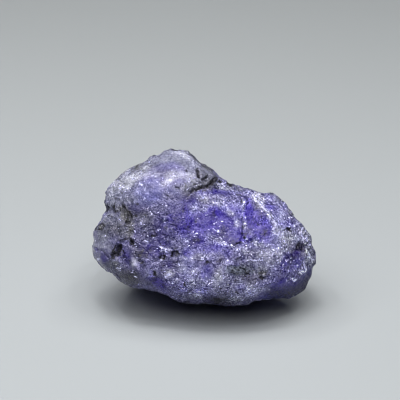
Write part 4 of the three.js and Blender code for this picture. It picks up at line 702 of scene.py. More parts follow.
PAINTED_GLINTS = [  # painted highlights: larger clean faces turned to the light, painted near white
    (161, 246.5, 1.6, 1.0, 25), (165, 248.5, 2.0, 0.9, 0), (166.5, 251.5, 1.4, 0.7, 0), (217.5, 230.5, 1.3, 1.7, -30), (187.5, 239.5, 1.4, 0.7, 0),
    (231, 245, 1.0, 1.5, -30), (236.5, 221.5, 1.6, 0.8, 30), (203, 196.5, 1.8, 1.2, 0), (242.5, 200.5, 1.2, 0.7, 0), (246.5, 238.5, 1.3, 0.9, 0),
    (260, 203, 1.4, 1.2, 30), (268, 214, 1.2, 1.3, 0), (276.5, 234, 1.6, 0.8, 0), (294.5, 225, 1.4, 1.0, 0), (281.5, 215.5, 1.0, 1.0, 0),
    (276, 223.5, 0.8, 2.2, -35), (302.5, 235, 0.8, 1.2, 0), (307, 240, 0.8, 2.0, -15), (302, 272, 1.8, 1.8, 0), (295.5, 279.5, 1.2, 0.8, 0),
    (257, 259.5, 5.0, 0.5, 0), (169, 274, 1.8, 1.3, 0), (198, 294.5, 1.6, 1.0, 0), (120, 187, 1.1, 0.7, 20), (141, 184, 1.2, 0.8, 0),
    (216, 230, 2.4, 0.7, 28), (221.7, 221.1, 0.9, 0.8, 0), (243.4, 202, 0.7, 2.0, 25), (196, 232, 1.6, 0.8, -20), (209, 237.5, 0.9, 0.9, 0),
    (186.7, 240, 1.5, 0.7, -10), (189, 244.4, 0.9, 0.9, 0), (220.5, 238, 1.8, 0.6, 40), (226, 244, 3.4, 0.7, 18), (159.4, 227.8, 0.9, 0.9, 0),
    (164.4, 217.8, 0.8, 0.8, 0), (151.5, 212.5, 0.9, 0.8, 0), (152, 235.5, 1.2, 0.8, 0), (214, 223.3, 0.9, 0.9, 0), (238, 249, 2.0, 0.8, -20),
    (227.8, 260, 1.0, 0.9, 0), (245.4, 217.0, 0.7, 1.8, 8), (244.6, 223.5, 0.7, 1.6, -10), (261, 203, 1.8, 1.6, 0), (268, 209.5, 0.9, 1.8, -30), (270.5, 216.5, 0.9, 1.8, -30),
    (281, 206.5, 0.8, 1.3, 0), (284, 204, 0.9, 0.9, 0), (277, 234, 1.8, 0.7, 0), (298.5, 223, 1.8, 0.7, 15), (294.5, 212, 0.9, 0.9, 0),
    (302.5, 228.2, 1.1, 0.9, 0), (306.5, 239.5, 0.8, 1.8, -15), (310, 245.5, 0.8, 1.0, 0), (269.7, 243.4, 1.6, 0.7, 10), (278.5, 247, 1.8, 0.8, 0),
    (251, 245.5, 1.0, 0.8, 0), (247.8, 191.8, 1.0, 0.9, 0), (122.5, 186, 1.1, 0.6, 30), (138.8, 182.5, 0.8, 1.8, 0), (149.4, 161.9, 0.9, 0.9, 0),
    (170, 178.5, 1.3, 1.2, 0), (167.5, 184, 0.9, 0.6, -20), (97, 258.5, 1.2, 1.0, 0), (117, 266.5, 1.2, 1.0, 0), (120.5, 263.5, 0.8, 0.6, 0),
    (141, 222, 0.8, 1.6, 0), (146, 240, 2.2, 0.8, 20), (133, 243.5, 1.8, 0.7, 0), (151, 213, 0.9, 0.9, 0), (165.5, 205, 0.9, 0.8, 0),
    (249.5, 288.5, 1.4, 0.7, -30), (303.5, 262, 1.0, 0.7, 0), (294, 281, 1.1, 0.8, 20), (288, 276, 0.9, 0.7, 0), (284.5, 264, 0.9, 0.8, 0),
    (291, 258, 1.0, 0.7, 0), (298, 265, 1.2, 0.8, 0), (279, 262, 0.9, 0.7, 0), (270, 291, 0.8, 0.8, 0), (190, 293, 1.2, 0.8, 0),
]

# --- crystal grains: each is a small tilted facet with a gap round it
glassy = np.clip(blobs(XW, YW, [
    (150, 275, 12, 9, 20, 0.5),
    (150, 190, 20, 8, -20, 0.25), (172, 158, 18, 6, 0, 0.3), (206, 172, 9, 5, 30, 0.5),
]), 0, 1) * front
facets = [(smooth(-0.5, 0.5, inside(X + 0.35 * wob[0], Y + 0.35 * wob[1], loop) + 0.6 * ragged) * g, change, clean) for loop, change, clean in FACETS]
for mask, change, clean in facets:
    glassy = np.maximum(glassy, mask * clean)
glassy = np.maximum(glassy, (1 - front) * smooth(0.1, 0.5, fbm(P, 6.0, 5, 2)) * 0.6)
calm = np.clip(blobs(XW, YW, VIOLET), 0, 1) * front
quiet = np.clip(0.15 + blobs(XW, YW, QUIET), -0.6, 1) * g
rough = (1 - 0.8 * glassy) * (1 - 0.46 * calm) * (1 - 0.62 * quiet)


def crystals(p, n, size, seed, fill=0.5):
    """Outward height over the body of a crust of small blocks, each turned its own way, and five numbers for the block on top."""
    q = p / size
    base = np.floor(q).astype(np.int64)
    best = np.full(len(p), -0.45)
    second = np.full(len(p), -0.45)
    own = np.zeros((len(p), 3), np.int64)
    for a in (-1, 0, 1):
        for b in (-1, 0, 1):
            for c in (-1, 0, 1):
                cell = base + (a, b, c)
                i, j, k = cell.T
                r = [hashed(i, j, k, seed + s) for s in range(1, 11)]
                gap = q - (cell + 0.5 + 0.9 * (np.stack(r[:3], 1) - 0.5))
                # a random turn, as a quaternion
                s1, s2, t1, t2 = np.sqrt(1 - r[3]), np.sqrt(r[3]), 2 * np.pi * r[4], 2 * np.pi * r[5]
                x, y, z, w_ = s1 * np.sin(t1), s1 * np.cos(t1), s2 * np.sin(t2), s2 * np.cos(t2)
                axes = (
                    np.stack([1 - 2 * (y * y + z * z), 2 * (x * y + z * w_), 2 * (x * z - y * w_)], 1),
                    np.stack([2 * (x * y - z * w_), 1 - 2 * (x * x + z * z), 2 * (y * z + x * w_)], 1),
                    np.stack([2 * (x * z + y * w_), 2 * (y * z - x * w_), 1 - 2 * (x * x + y * y)], 1),
                )
                above = (gap * n).sum(1)
                leave, enter = np.full(len(p), 1e9), np.full(len(p), -1e9)
                for axis, r_k in zip(axes, r[6:9]):
                    side = (axis * n).sum(1)
                    axis = axis * np.sign(side)[:, None]
                    side = np.maximum(np.abs(side), 0.10)
                    half = fill * (0.55 + 0.75 * r_k)
                    at = (axis * gap).sum(1)
                    leave = np.minimum(leave, (half - at) / side)
                    enter = np.maximum(enter, (-half - at) / side)
                top = np.where(enter < leave, leave, -9.0) + above - 1.3 * above**2 + 0.25 * (r[9] - 0.5)
                higher = top > best
                second = np.where(higher, best, np.maximum(second, top))
                best = np.where(higher, top, best)
                own = np.where(higher[:, None], cell, own)
    rnd = np.stack([hashed(own[:, 0], own[:, 1], own[:, 2], seed + s) for s in (21, 22, 23, 24, 25)], 1)
    return best * size, (best - second), rnd


bent = P + 0.30 * np.stack([fbm(P, 1.7, 61 + s, 3) for s in range(3)], 1)
h_big, s_big, r_big = crystals(bent, N, 2.3, 130)
h_mid, s_mid, r_mid = crystals(bent, N, 1.0, 200)
h_fine, s_fine, r_fine = crystals(P, N, 0.50, 300)
h_tiny, s_tiny, r_tiny = crystals(P, N, 0.29, 400)
band = np.exp(-((w_flat / 1.7) ** 2))
relief = 0.20 * fbm(P, 4.5, 7, 3) + 0.10 * fbm(P, 1.3, 17, 3)
relief += rough * (0.11 * h_big + 0.12 * h_mid + 0.074 * h_fine + 0.06 * h_tiny) + band * (0.22 * h_mid + 0.26 * h_fine) * (1 - 0.8 * glassy)
relief += 0.040 * (hashed(*np.round(P * 1000).astype(np.int64).T, 9) - 0.5) * (1 - 0.8 * glassy)
INKED = [  # threads and clots of graphite: line, half width at its ends
    ([(215.8, 177.4), (214.2, 180.6), (211, 183), (208, 184.4), (204, 184.6)], (2.0, 0.8)), ([(203.4, 185.2), (200.4, 186.2), (198, 187.3)], (1.1, 1.0)),
    ([(197, 188.2), (193.7, 188.3)], (0.9, 1.4)), ([(192.6, 189.6), (191, 191.4)], (0.9, 0.8)), ([(208.4, 174.4), (205.4, 176.6), (202.6, 178.6)], (0.7, 1.4)),
    ([(197.4, 169), (197.3, 171), (198.2, 173.6), (199.5, 177)], (1.4, 0.5)), ([(219.8, 180), (221.8, 180.4), (223.6, 181)], (0.9, 0.9)),
    ([(227.4, 182), (229.4, 183), (231.4, 184.2)], (1.3, 1.4)), ([(194.2, 183.4), (195.2, 183.6)], (0.7, 0.6)),
    ([(120.4, 243.4), (120.6, 246.6), (119.4, 250.4), (117.6, 253)], (1.2, 1.3)), ([(114.6, 247), (112.8, 250.6)], (0.7, 1.0)), ([(111.4, 254), (113.6, 256.8)], (1.3, 1.0)), ([(122, 250), (122.8, 252)], (0.8, 0.7)),
    ([(171.6, 255.5), (171.8, 252.2), (174, 249.8), (177, 250.4), (178.8, 253)], (0.8, 0.6)), ([(163.6, 254.6), (165.2, 256.4), (163.6, 258)], (0.8, 0.9)), ([(160, 256.4), (160.8, 254.6)], (0.6, 0.6)),
    ([(112.6, 205), (113.4, 209)], (1.6, 1.8)), ([(122, 205), (124, 207.5)], (1.1, 1.3)), ([(129, 212), (131.2, 216)], (0.9, 1.1)),
    ([(126, 220), (128.5, 222)], (1.2, 1.0)), ([(95.6, 228.4), (97, 225.4), (99.6, 223.4), (103, 223), (104.4, 225.4), (103.2, 228.6)], (0.8, 0.9)), ([(98.4, 228.4), (101.4, 228)], (0.6, 0.8)),
    ([(285.6, 229.6), (287.6, 227.6), (290.4, 228.6), (291.4, 231)], (0.6, 0.7)), ([(239.6, 266.8), (243, 268), (246, 270)], (0.5, 0.7)), ([(231, 272), (234.6, 272.6)], (0.5, 0.5)),
    ([(247, 272.6), (249.5, 274)], (0.7, 0.6)), ([(260.8, 276.8), (262.8, 278)], (1.2, 1.0)), ([(207.6, 261.2), (209.6, 261.8)], (1.1, 0.9)),
    ([(184, 282.6), (184.6, 285.6)], (0.9, 0.9)), ([(236, 291), (238, 291.8)], (1.0, 0.8)), ([(154.6, 271), (155.4, 275)], (0.6, 0.9)),
    ([(240.4, 241), (238, 242), (235.6, 243)], (0.7, 0.6)), ([(243.4, 236), (244.6, 238)], (0.6, 0.5)), ([(131, 239.6), (131.6, 243)], (1.2, 1.0)),
    ([(175.6, 186), (178.4, 187)], (0.6, 0.6)), ([(166.2, 194), (168, 195)], (0.6, 0.5)), ([(123.4, 169.8), (124.8, 170.4)], (0.9, 0.7)),
    ([(135.4, 165.2), (136.8, 166)], (0.9, 0.7)), ([(174, 149.6), (178, 150.2)], (0.6, 0.7)), ([(185.6, 169.6), (186.8, 170.8)], (0.6, 0.5)),
]
black = np.zeros(len(P))
frayed = fbm(P, 0.40, 191, 3)
for line, half in INKED:
    d, t = lines_near(X + 0.12 * wob[0], Y + 0.12 * wob[1], line)
    wide = (half[0] + (half[1] - half[0]) * t) * (1 + 1.3 * frayed)
    black = np.maximum(black, smooth(1.30, 0.80, d / np.maximum(wide, 0.05)) * smooth(-2.4, -1.0, w_flat))
relief = relief - 0.10 - 0.10 * band - 0.14 * black
relief += band * blobs(X, Y, TRIM)
relief = relief * (0.85 + 0.15 * smooth(0.0, 1.5, np.abs(w_flat)))
relief += front * (rise - cut - hole)
P2 = P + N * relief[:, None]
P2[:, 2] = np.maximum(P2[:, 2], 0.0)
low, high = np.array(CAD_BOX[0]) * 1000, np.array(CAD_BOX[1]) * 1000
P2 = np.clip(P2, low, high)

def zone(items, noise, amount, lo, hi, rear, pick):
    """Where a colour shows; whole grains take it or leave it."""
    own = 0.16 * (r_mid[:, pick] - 0.5)
    near = blobs(XW, YW, items) * (1 + 0.35 * own) + amount * noise
    return smooth(lo, hi, near * g + rear * (1 - g) + own * (1 - 0.65 * quiet))


violet = zone(VIOLET, n2, 0.22, 0.12, 0.95, 0.45 + 1.2 * n1, 0)
blue = zone(BLUE, n2, 0.2, 0.1, 1.0, 0.35 + 0.9 * fbm(P, 4.0, 141, 3), 1)
pale = zone(PALE, n3, 0.25, 0.12, 1.0, 0.15 + 1.3 * fbm(P, 3.4, 151, 4), 2)
grey = zone(GREY, n2, 0.25, 0.1, 0.95, 0.2 + 1.2 * fbm(P, 5.0, 161, 3), 3)
# painted reflection: the stone is greyer and less blue along the widest section, where it is seen at a slant
grey = np.maximum(grey, 0.75 * band * (0.8 + 0.8 * n3).clip(0, 1))
violet, blue = violet * (1 - 0.7 * band), blue * (1 - 0.6 * band)
milk = zone(MILK, n3, 0.2, 0.1, 1.0, -0.3 + 1.2 * fbm(P, 4.0, 181, 4), 1)
cream = zone(CREAM, n3, 0.35, 0.25, 0.95, -0.25 + 1.5 * fbm(P, 3.0, 171, 4), 4)
ink = np.zeros(len(P))
for cx, cy, rx, ry, turn in SPECKS:
    q = math.radians(turn)
    dx, dy = X + 0.4 * wob[0] + 0.7 * n3 - cx, Y + 0.4 * wob[1] - cy
    p1, p2 = (dx * math.cos(q) + dy * math.sin(q)) / rx, (-dx * math.sin(q) + dy * math.cos(q)) / ry
    ink = np.maximum(ink, np.exp(-((p1**2 + p2**2) ** 1.5)))
ink *= g
f1, f2, off, rs = cells(P, 2.6, 900)
# the listed dark spots: partly the stone's deep violet, partly painted shade
dark = g * (r_fine[:, 1] * 0.6 + r_tiny[:, 1] * 0.4 < 0.12 + 0.76 * blobs(X + 0.3 * wob[0], Y + 0.3 * wob[1], DEEP_VIOLET_AND_SHADE)) * np.clip(3 * blobs(X, Y, DEEP_VIOLET_AND_SHADE), 0, 1)
dark_outline = blobs(X, Y, DARK_OUTLINE_SPOTS) * np.exp(-((inset / 2.2) ** 2)) * g * (0.55 + 0.9 * r_fine[:, 2]) * (0.7 + 0.6 * r_tiny[:, 2])
dark_outline = smooth(0.26, 0.50, dark_outline)
broken = (r_tiny[:, 3] < blobs(X + 0.3 * wob[0], Y + 0.3 * wob[1], CLUSTERS)) * g
stray = (rs[:, 0] < 0.22) * np.exp(-((f1 / (0.18 + 0.35 * rs[:, 1])) ** 4))
ink = np.maximum(ink, stray * (1 - g) * 0.95)
ink = np.clip(ink * (0.80 + 0.8 * n3 + 0.5 * (hashed(*np.round(P * 1000).astype(np.int64).T, 19) - 0.5)), 0, 1)
ink = np.maximum(ink, black)
# painted highlights: listed spots and a share of the grains are marked to be painted near white
painted_glint = np.zeros(len(P))
for cx, cy, rx, ry, turn in PAINTED_GLINTS:
    q = math.radians(turn)
    dx, dy = X + 0.25 * wob[0] - cx, Y + 0.25 * wob[1] - cy
    p1, p2 = (dx * math.cos(q) + dy * math.sin(q)) / rx, (-dx * math.sin(q) + dy * math.cos(q)) / ry
    painted_glint = np.maximum(painted_glint, g * np.exp(-((p1**2 + p2**2) ** 3)))
violet_shade_here = np.clip(1.6 * blobs(X, Y, DEEP_VIOLET_AND_SHADE), 0, 1)
share = (1 - 0.9 * violet_shade_here * g) * (0.004 + 0.52 * blobs(X + 0.4 * wob[0], Y + 0.4 * wob[1], PAINTED_GLINT_SHARE) * g + 0.05 * (1 - g)) * (1 - 0.95 * glassy)
painted_glint = np.maximum(painted_glint, (r_tiny[:, 0] < 0.40 * share) * (0.45 + 0.55 * r_tiny[:, 1]))
spot = hashed(*np.round(P * 1000).astype(np.int64).T, 39)
painted_glint = np.maximum(painted_glint, (spot < 0.48 * share) * 1.0)
painted_glint *= (1 - ink)
streaks = g * np.exp(-(((X - 237) / 13) ** 4 + ((Y - 281) / 6) ** 4)) * (0.5 + 0.5 * np.sin(Y * 2 * np.pi / 2.7 + 0.6 * n2))


def brushed(turn, long, wide, seed):
    """Noise drawn out along one direction of the near face."""
    q = math.radians(turn)
    x, y = X + 0.4 * wob[0], Y + 0.4 * wob[1]
    along, across = x * math.cos(q) + y * math.sin(q), -x * math.sin(q) + y * math.cos(q)
    return fbm(np.stack([along / long, across / wide, w / 3.0], 1), 1.0, seed, 3)


def threads(size, seed, wide, part):
    """Thin wandering lines, broken into lengths."""
    line = np.abs(fbm(P + 0.25 * np.stack([n3, -n3, n2], 1), size, seed, 2))
    return smooth(wide, 0.35 * wide, line) * smooth(part, part + 0.08, fbm(P, 1.7, seed + 9, 2))


falling = smooth(185, 215, X + 0.4 * (Y - 220))
brush = g * (brushed(-24, 5.0, 1.5, 301) * (1 - falling) + brushed(38, 5.0, 1.5, 311) * falling)
veil = threads(2.2, 321, 0.045, 0.02) * (1 - 0.5 * quiet)
seam = threads(2.6, 341, 0.036, 0.12) * (1 - 0.5 * quiet) * (1 - 0.6 * violet)


def lit(colours, amount):
    """Lighter or darker grains differ by one step in all three colours, so that dark ones are deeper blue and light ones paler."""
    root = np.maximum(colours, 1e-4) ** (1 / 2.2)
    step = root[:, :1] * (np.maximum(amount, 0.05)[:, None] ** (1 / 2.2) - 1)
    return np.maximum(root + step, 0.02) ** 2.2


def srgb(r, g_, b):
    c = np.array([r, g_, b]) / 255.0
    return np.where(c <= 0.04045, c / 12.92, ((c + 0.055) / 1.055) ** 2.4)


def mixed(col, other, amount):
    return col + (other - col) * amount[:, None]


col = np.tile(srgb(113, 110, 157), (len(P), 1))
col = mixed(col, srgb(124, 124, 178), 0.85 * blue)
col = mixed(col, srgb(116, 118, 134), 0.85 * grey)
col = mixed(col, srgb(75, 62, 161), 0.97 * violet * (1 - 0.35 * pale))
col = mixed(col, srgb(196, 196, 220), 0.80 * pale)
col = mixed(col, srgb(180, 182, 194), 0.70 * milk)
col = mixed(col, srgb(128, 128, 115), 0.60 * cream)
# each block has its own lightness and depth of colour
light = 1 + 0.36 * brush * (1 - 0.25 * quiet) + 0.16 * (r_mid[:, 4] - 0.5) + 0.10 * (r_fine[:, 4] - 0.5) + 0.10 * (r_big[:, 4] - 0.5) + 0.11 * n3 - 0.25 * streaks
col = lit(col, light)
col = lit(col, 1 + 0.16 * (r_tiny[:, 4] - 0.5) * (1 - 0.7 * glassy) * (1 - 0.75 * quiet))
fleck = (r_tiny[:, 2] < (0.05 + 0.14 * violet) * (1 - 0.7 * pale)) * (1 - 0.7 * glassy) * (1 - 0.75 * quiet)
col = lit(col, 1 - 0.40 * fleck)
col = lit(col, 1 - 0.42 * (spot > 0.92) * (1 - 0.9 * glassy) * (1 - 0.6 * quiet))
# painted shade in part: the listed dark spots take a deep violet and are darkened a little more
col = mixed(col, srgb(36, 27, 84), 0.80 * dark)
col = col * (1 - 0.12 * g[:, None] * violet_shade_here[:, None] * np.array([1.0, 1.05, 0.75]))
col = lit(col, 1 + 0.55 * veil * (1 - ink))
col = lit(col, 1 - 0.24 * seam)
frost = (r_fine[:, 3] > 0.88) * rough
col = lit(col, 1 + 0.22 * frost * (1 - ink) * (1 - 0.7 * violet) * (1 - 0.6 * quiet))
# painted shade: the creases between crystal blocks are darkened
deep = np.exp(-((s_fine / 0.10) ** 2)) * rough * (1 - 0.45 * violet * g)
col = col * (1 - deep[:, None] * np.array([0.30, 0.33, 0.14]))
# painted shade: clefts and pits are darkened by their depth
col = col * (1 - np.clip((cut + hole) * 0.55, 0, 0.6) * g)[:, None]
# painted shade: the near face is darker low down, just above the widest section, and towards the bottom right, where
# shade falls beneath the stone
painted_shade_below = g * smooth(-1.6, 0.0, -np.abs(w_flat - 0.4)) * smooth(278, 296, Y)
painted_shade_below = np.maximum(painted_shade_below, g * smooth(287, 296, Y + 0.35 * np.abs(X - 283)) * smooth(262, 272, X))
col = col * (1 - 0.45 * painted_shade_below)[:, None]
# the listed broad areas lighten or darken the colour; along the bottom this is painted shade
col = col * (0.66 * np.exp(blobs(XW, YW, TONE_AND_SHADE) * g))[:, None]
for mask, change, clean in facets:
    col = col * (1 + mask[:, None] * (np.array(change) - 1))
bright = col @ np.array([0.21, 0.72, 0.07])
col = col * (1.03 * (bright / 0.14) ** (0.10 * g))[:, None]
# painted shade: dull dark grey along the widest section and near the outline
outline_shade = np.maximum(band, g * np.exp(-((inset / 4.5) ** 2))) * np.clip(blobs(XW, YW, OUTLINE_SHADE), 0, 1) * (0.75 + 0.9 * n3).clip(0, 1)
col = mixed(col, srgb(62, 63, 78), 0.75 * outline_shade)
col = mixed(col, srgb(50, 50, 58), 0.80 * dark_outline)
# painted highlights: the marked grains are painted near white
col = mixed(col, srgb(200, 200, 245), 0.80 * painted_glint)
col = mixed(col, srgb(40, 39, 34), 0.80 * broken * (0.6 + 0.4 * r_tiny[:, 1]))
col = mixed(col, srgb(12, 12, 14), 0.96 * ink)
col = np.clip(col, 0.004, 0.9)

mesh = bpy.data.meshes.new("tanzanite_stone")
mesh.vertices.add(len(P2))
mesh.vertices.foreach_set("co", (P2 * 0.001).astype(np.float32).ravel())
mesh.loops.add(tris.size)
mesh.loops.foreach_set("vertex_index", tris.astype(np.int32).ravel())
mesh.polygons.add(len(tris))
mesh.polygons.foreach_set("loop_start", np.arange(0, tris.size, 3, dtype=np.int32))
mesh.polygons.foreach_set("loop_total", np.full(len(tris), 3, np.int32))
mesh.update(calc_edges=True)
mesh.validate()
mesh.polygons.foreach_set("use_smooth", np.zeros(len(tris), bool))
mesh.uv_layers.new(name="OFBake", do_init=False).uv.foreach_set("vector", laid_flat(local).astype(np.float32).ravel())


def attribute(name, values, kind="FLOAT"):
    """Each face takes the value at its first corner, so that grains have crisp edges."""
    layer = mesh.attributes.new(name, kind, "FACE")
    values = values[tris[:, 0]]
    if name == "stone_tint":
        count = np.arange(len(tris))
        values = lit(values, 1 + 0.35 * (hashed(count, count * 7, count * 13, 29) - 0.5) * crisp[tris[:, 0]])
    if kind == "FLOAT_COLOR":
        layer.data.foreach_set("color", np.concatenate([values, np.ones((len(values), 1))], 1).astype(np.float32).ravel())
    else:
        layer.data.foreach_set("value", values.astype(np.float32))


crisp = (1.0 + g * (0.30 * smooth(180, 215, X) + 0.30 * smooth(262, 284, Y) - 0.12 * violet + blobs(XW, YW, GRITTY))) * (1 - 0.7 * glassy) * (1 - 0.45 * quiet)
attribute("stone_tint", col, "FLOAT_COLOR")
attribute("stone_violet", violet * (1 - ink))
attribute("stone_pale", pale * (1 - ink))
attribute("stone_glassy", glassy * (1 - ink))
attribute("stone_ink", ink)
attribute("stone_painted_glint", painted_glint)
attribute("stone_crisp", crisp)

stone = bpy.data.objects.new("tanzanite_stone", mesh)
bpy.context.scene.collection.objects.link(stone)

# ------------------------------------------------------------------ material
mat = bpy.data.materials.new("tanzanite_granular")
mat.use_nodes = True
nt = mat.node_tree
bsdf = nt.nodes["Principled BSDF"]
bsdf.inputs["IOR"].default_value = 1.69
bsdf.inputs["Specular IOR Level"].default_value = 0.34
bsdf.inputs["Specular Tint"].default_value = (0.80, 0.76, 1.0, 1)
bsdf.inputs["Subsurface Weight"].default_value = 0.10
bsdf.inputs["Subsurface Radius"].default_value = (0.9, 0.8, 1.5)
bsdf.inputs["Subsurface Scale"].default_value = 0.0004


def node(kind, **values):
    n = nt.nodes.new(kind)
    for key, value in values.items():
        setattr(n, key, value)
    return n


def link(a, b):
    nt.links.new(a, b)


def attr(name):
    return node("ShaderNodeAttribute", attribute_name=name)


def maths(op, a, b=None, c=None, clamp=False):
    n = node("ShaderNodeMath", operation=op, use_clamp=clamp)
    for i, x in enumerate((a, b, c)):
        if x is None:
            continue
        if isinstance(x, (int, float)):
            n.inputs[i].default_value = x
        else:
            link(x, n.inputs[i])
    return n.outputs[0]


coords = node("ShaderNodeTexCoord")
oblique = node("ShaderNodeMapping")
oblique.inputs["Rotation"].default_value = (-1.402, 0.929, 0.456)
link(coords.outputs["Object"], oblique.inputs["Vector"])


def texture(kind, size_mm, **values):
    n = node(kind)
    link(oblique.outputs[0], n.inputs["Vector"])
    n.inputs["Scale"].default_value = 1000.0 / size_mm
    for key, value in values.items():
        if key in n.inputs:
            n.inputs[key].default_value = value
        else:
            setattr(n, key, value)
    return n


sugar = texture("ShaderNodeTexVoronoi", 0.155)
crystal = texture("ShaderNodeTexVoronoi", 0.40)
dust = texture("ShaderNodeTexNoise", 0.16, Detail=4.0, Roughness=0.65)
cloud = texture("ShaderNodeTexNoise", 1.6, Detail=5.0, Roughness=0.6)


def split_colour(socket):
    out = node("ShaderNodeSeparateColor")
    link(socket, out.inputs[0])
    return out.outputs


def split(n):
    return split_colour(n.outputs["Color"])


sugar_rnd, crystal_rnd = split(sugar), split(crystal)
glassy_here = attr("stone_glassy").outputs["Fac"]
grainy = maths("SUBTRACT", 1.0, maths("MULTIPLY", glassy_here, 0.8))

tint = attr("stone_tint")
speckle = maths("ADD", maths("MULTIPLY", sugar_rnd[0], 1.90), maths("MULTIPLY", dust.outputs[0], 0.9))
speckle = maths("MULTIPLY", maths("SUBTRACT", speckle, 1.40), attr("stone_crisp").outputs["Fac"])
ink_here = attr("stone_ink").outputs["Fac"]
violet_here = attr("stone_violet").outputs["Fac"]
open_stone = maths("MULTIPLY", maths("SUBTRACT", 1.0, ink_here, clamp=True), grainy)
white = maths("MULTIPLY", maths("GREATER_THAN", sugar_rnd[2], 0.94), open_stone)
white = maths("MULTIPLY", white, maths("SUBTRACT", 1.0, maths("MULTIPLY", violet_here, 0.5)))
hollow = maths("MULTIPLY", maths("LESS_THAN", sugar_rnd[1], 0.12), open_stone)
gain = maths("ADD", maths("ADD", speckle, maths("MULTIPLY", cloud.outputs[0], 0.36)), 1.26)
gain = maths("MULTIPLY", maths("DIVIDE", gain, 1.44), maths("SUBTRACT", 1.0, maths("MULTIPLY", hollow, 0.5)))
gain = maths("MULTIPLY", gain, maths("ADD", 1.0, maths("MULTIPLY", white, maths("MULTIPLY", attr("stone_crisp").outputs["Fac"], 0.8))))
# a grain lighter or darker by one step in all three colours
body_tint = node("ShaderNodeVectorMath", operation="MULTIPLY")
link(tint.outputs["Color"], body_tint.inputs[0])
body_tint.inputs[1].default_value = (1.44, 1.44, 1.42)
root = node("ShaderNodeGamma")
root.inputs["Gamma"].default_value = 1 / 2.2
link(body_tint.outputs[0], root.inputs["Color"])
step = maths("MULTIPLY", split_colour(root.outputs[0])[0], maths("SUBTRACT", maths("POWER", maths("MAXIMUM", gain, 0.05), 1 / 2.2), 1.0))
steps = node("ShaderNodeCombineXYZ")
for axis in range(3):
    link(step, steps.inputs[axis])
stepped = node("ShaderNodeVectorMath", operation="ADD")
link(root.outputs[0], stepped.inputs[0])
link(steps.outputs[0], stepped.inputs[1])
floored = node("ShaderNodeVectorMath", operation="MAXIMUM")
link(stepped.outputs[0], floored.inputs[0])
floored.inputs[1].default_value = (0.03, 0.03, 0.03)
shade = node("ShaderNodeGamma")
shade.inputs["Gamma"].default_value = 2.2
link(floored.outputs[0], shade.inputs["Color"])


def mixed_in(base, colour, factor):
    n = node("ShaderNodeMix", data_type="RGBA")
    link(factor, n.inputs["Factor"])
    link(base, n.inputs["A"])
    n.inputs["B"].default_value = (*colour, 1)
    return n.outputs["Result"]


wine = maths("MULTIPLY", maths("LESS_THAN", crystal_rnd[0], 0.30), violet_here)
colour = mixed_in(shade.outputs[0], (0.055, 0.043, 0.25), maths("MULTIPLY", wine, 0.12))
link(colour, bsdf.inputs["Base Color"])

# most grains are frosted, some are clean and shine, and the painted highlights are made glossier too; graphite has a
# dull sheen
clean = maths("GREATER_THAN", crystal_rnd[1], 0.55)
rough_value = maths("SUBTRACT", 0.38, maths("MULTIPLY", clean, 0.20))
rough_value = maths("ADD", rough_value, maths("MULTIPLY", maths("SUBTRACT", sugar_rnd[1], 0.5), 0.2))
rough_value = maths("SUBTRACT", rough_value, maths("MULTIPLY", glassy_here, 0.06))
rough_value = maths("SUBTRACT", rough_value, maths("MULTIPLY", attr("stone_painted_glint").outputs["Fac"], 0.25))
rough_value = maths("MAXIMUM", rough_value, maths("ADD", maths("MULTIPLY", ink_here, 0.45), 0.10))
link(rough_value, bsdf.inputs["Roughness"])


# every grain finer than the mesh faces its own way
def turned(source, amount):
    centred = node("ShaderNodeVectorMath", operation="SUBTRACT")
    link(source.outputs["Color"], centred.inputs[0])
    centred.inputs[1].default_value = (0.5, 0.5, 0.5)
    scaled = node("ShaderNodeVectorMath", operation="SCALE")
    link(centred.outputs[0], scaled.inputs[0])
    link(maths("MULTIPLY", grainy, amount), scaled.inputs["Scale"])
    return scaled.outputs[0]


def added(x, y):
    n = node("ShaderNodeVectorMath", operation="ADD")
    link(x, n.inputs[0])
    link(y, n.inputs[1])
    return n.outputs[0]


facing = node("ShaderNodeNewGeometry")
leaning = added(facing.outputs["Normal"], added(turned(sugar, 0.30), turned(crystal, 0.16)))
unit = node("ShaderNodeVectorMath", operation="NORMALIZE")
link(leaning, unit.inputs[0])
link(unit.outputs[0], bsdf.inputs["Normal"])
mesh.materials.append(mat)

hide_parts("rough_tanzanite")
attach(stone, "root")

# ------------------------------------------------------------------ floor, light and camera
floor_mesh = bpy.data.meshes.new("floor")
half = 3.0
floor_mesh.from_pydata([(-half, -half, 0), (half, -half, 0), (half, half, 0), (-half, half, 0)], [], [(0, 1, 2, 3)])
floor = bpy.data.objects.new("floor", floor_mesh)
bpy.context.scene.collection.objects.link(floor)
floor_mat = bpy.data.materials.new("floor_paper")
floor_mat.use_nodes = True
fb = floor_mat.node_tree.nodes["Principled BSDF"]
ft = floor_mat.node_tree
# painted falloff of light: the floor's colour is darker towards the back
where = ft.nodes.new("ShaderNodeTexCoord")
apart = ft.nodes.new("ShaderNodeSeparateXYZ")
ft.links.new(where.outputs["Object"], apart.inputs[0])
fall = ft.nodes.new("ShaderNodeMapRange")
fall.interpolation_type = "SMOOTHSTEP"
fall.inputs["From Min"].default_value = -0.03
fall.inputs["From Max"].default_value = 0.16
ft.links.new(apart.outputs["Y"], fall.inputs["Value"])
paper_with_falloff = ft.nodes.new("ShaderNodeMix")
paper_with_falloff.data_type = "RGBA"
paper_with_falloff.inputs["A"].default_value = (0.415, 0.438, 0.450, 1)
paper_with_falloff.inputs["B"].default_value = (0.380, 0.400, 0.407, 1)
ft.links.new(fall.outputs["Result"], paper_with_falloff.inputs["Factor"])
ft.links.new(paper_with_falloff.outputs["Result"], fb.inputs["Base Color"])
fb.inputs["Roughness"].default_value = 0.8
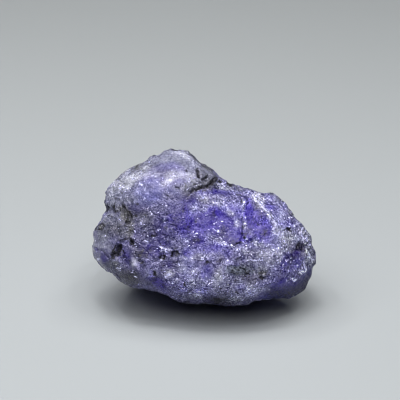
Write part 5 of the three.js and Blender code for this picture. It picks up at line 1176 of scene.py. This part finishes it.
fb.inputs["Specular IOR Level"].default_value = 0.1
floor_mesh.materials.append(floor_mat)

scene = bpy.context.scene
world = bpy.data.worlds.new("studio")
world.use_nodes = True
world.node_tree.nodes["Background"].inputs["Color"].default_value = (0.56, 0.59, 0.61, 1)
world.node_tree.nodes["Background"].inputs["Strength"].default_value = 0.035
scene.world = world


def lamp(name, at, target, size, watts, size_y=None, colour=(1, 1, 1)):
    data = bpy.data.lights.new(name, "AREA")
    data.shape = "RECTANGLE"
    data.size = size
    data.size_y = size_y or size
    data.energy = watts
    data.color = colour
    ob = bpy.data.objects.new(name, data)
    ob.location = at
    ob.rotation_euler = (Vector(target) - Vector(at)).to_track_quat("-Z", "Y").to_euler()
    scene.collection.objects.link(ob)
    return ob


middle = (0, 0, 0.010)
lamp("softbox", (-0.038, -0.055, 0.305), middle, 0.42, 1.42)
lamp("softbox_core", (-0.03, -0.03, 0.30), middle, 0.06, 0.20)
for k, (x, y, z) in enumerate([(-0.11, -0.05, 0.30), (0.10, -0.07, 0.31), (0.02, -0.13, 0.30), (0.14, 0.06, 0.28), (-0.15, 0.06, 0.27)]):
    lamp(f"spark_{k}", (x, y, z), middle, 0.016, 0.06)

cam_data = bpy.data.cameras.new("camera")
cam = bpy.data.objects.new("camera", cam_data)
scene.collection.objects.link(cam)
right = Vector((1, 0, 0))
up = Vector((0, math.sin(TILT), math.cos(TILT)))
back = Vector((0, -math.cos(TILT), math.sin(TILT)))
centre = Vector(SHIFT * 0.001)
aim = centre + right * (200 - CENTRE[0]) * PITCH * 0.001 + up * (CENTRE[1] - 200) * PITCH * 0.001
cam.location = aim + back * REACH * 0.001
cam.rotation_euler = (-back).to_track_quat("-Z", "Y").to_euler()
cam_data.sensor_fit = "HORIZONTAL"
cam_data.angle = 2 * math.atan(200 * PITCH / REACH)
cam_data.clip_start = 0.01
cam_data.clip_end = 20
scene.camera = cam
scene.view_settings.view_transform = "Standard"
scene.cycles.filter_width = 1.0    # as crisp as the photograph

bpy.context.view_layer.update()
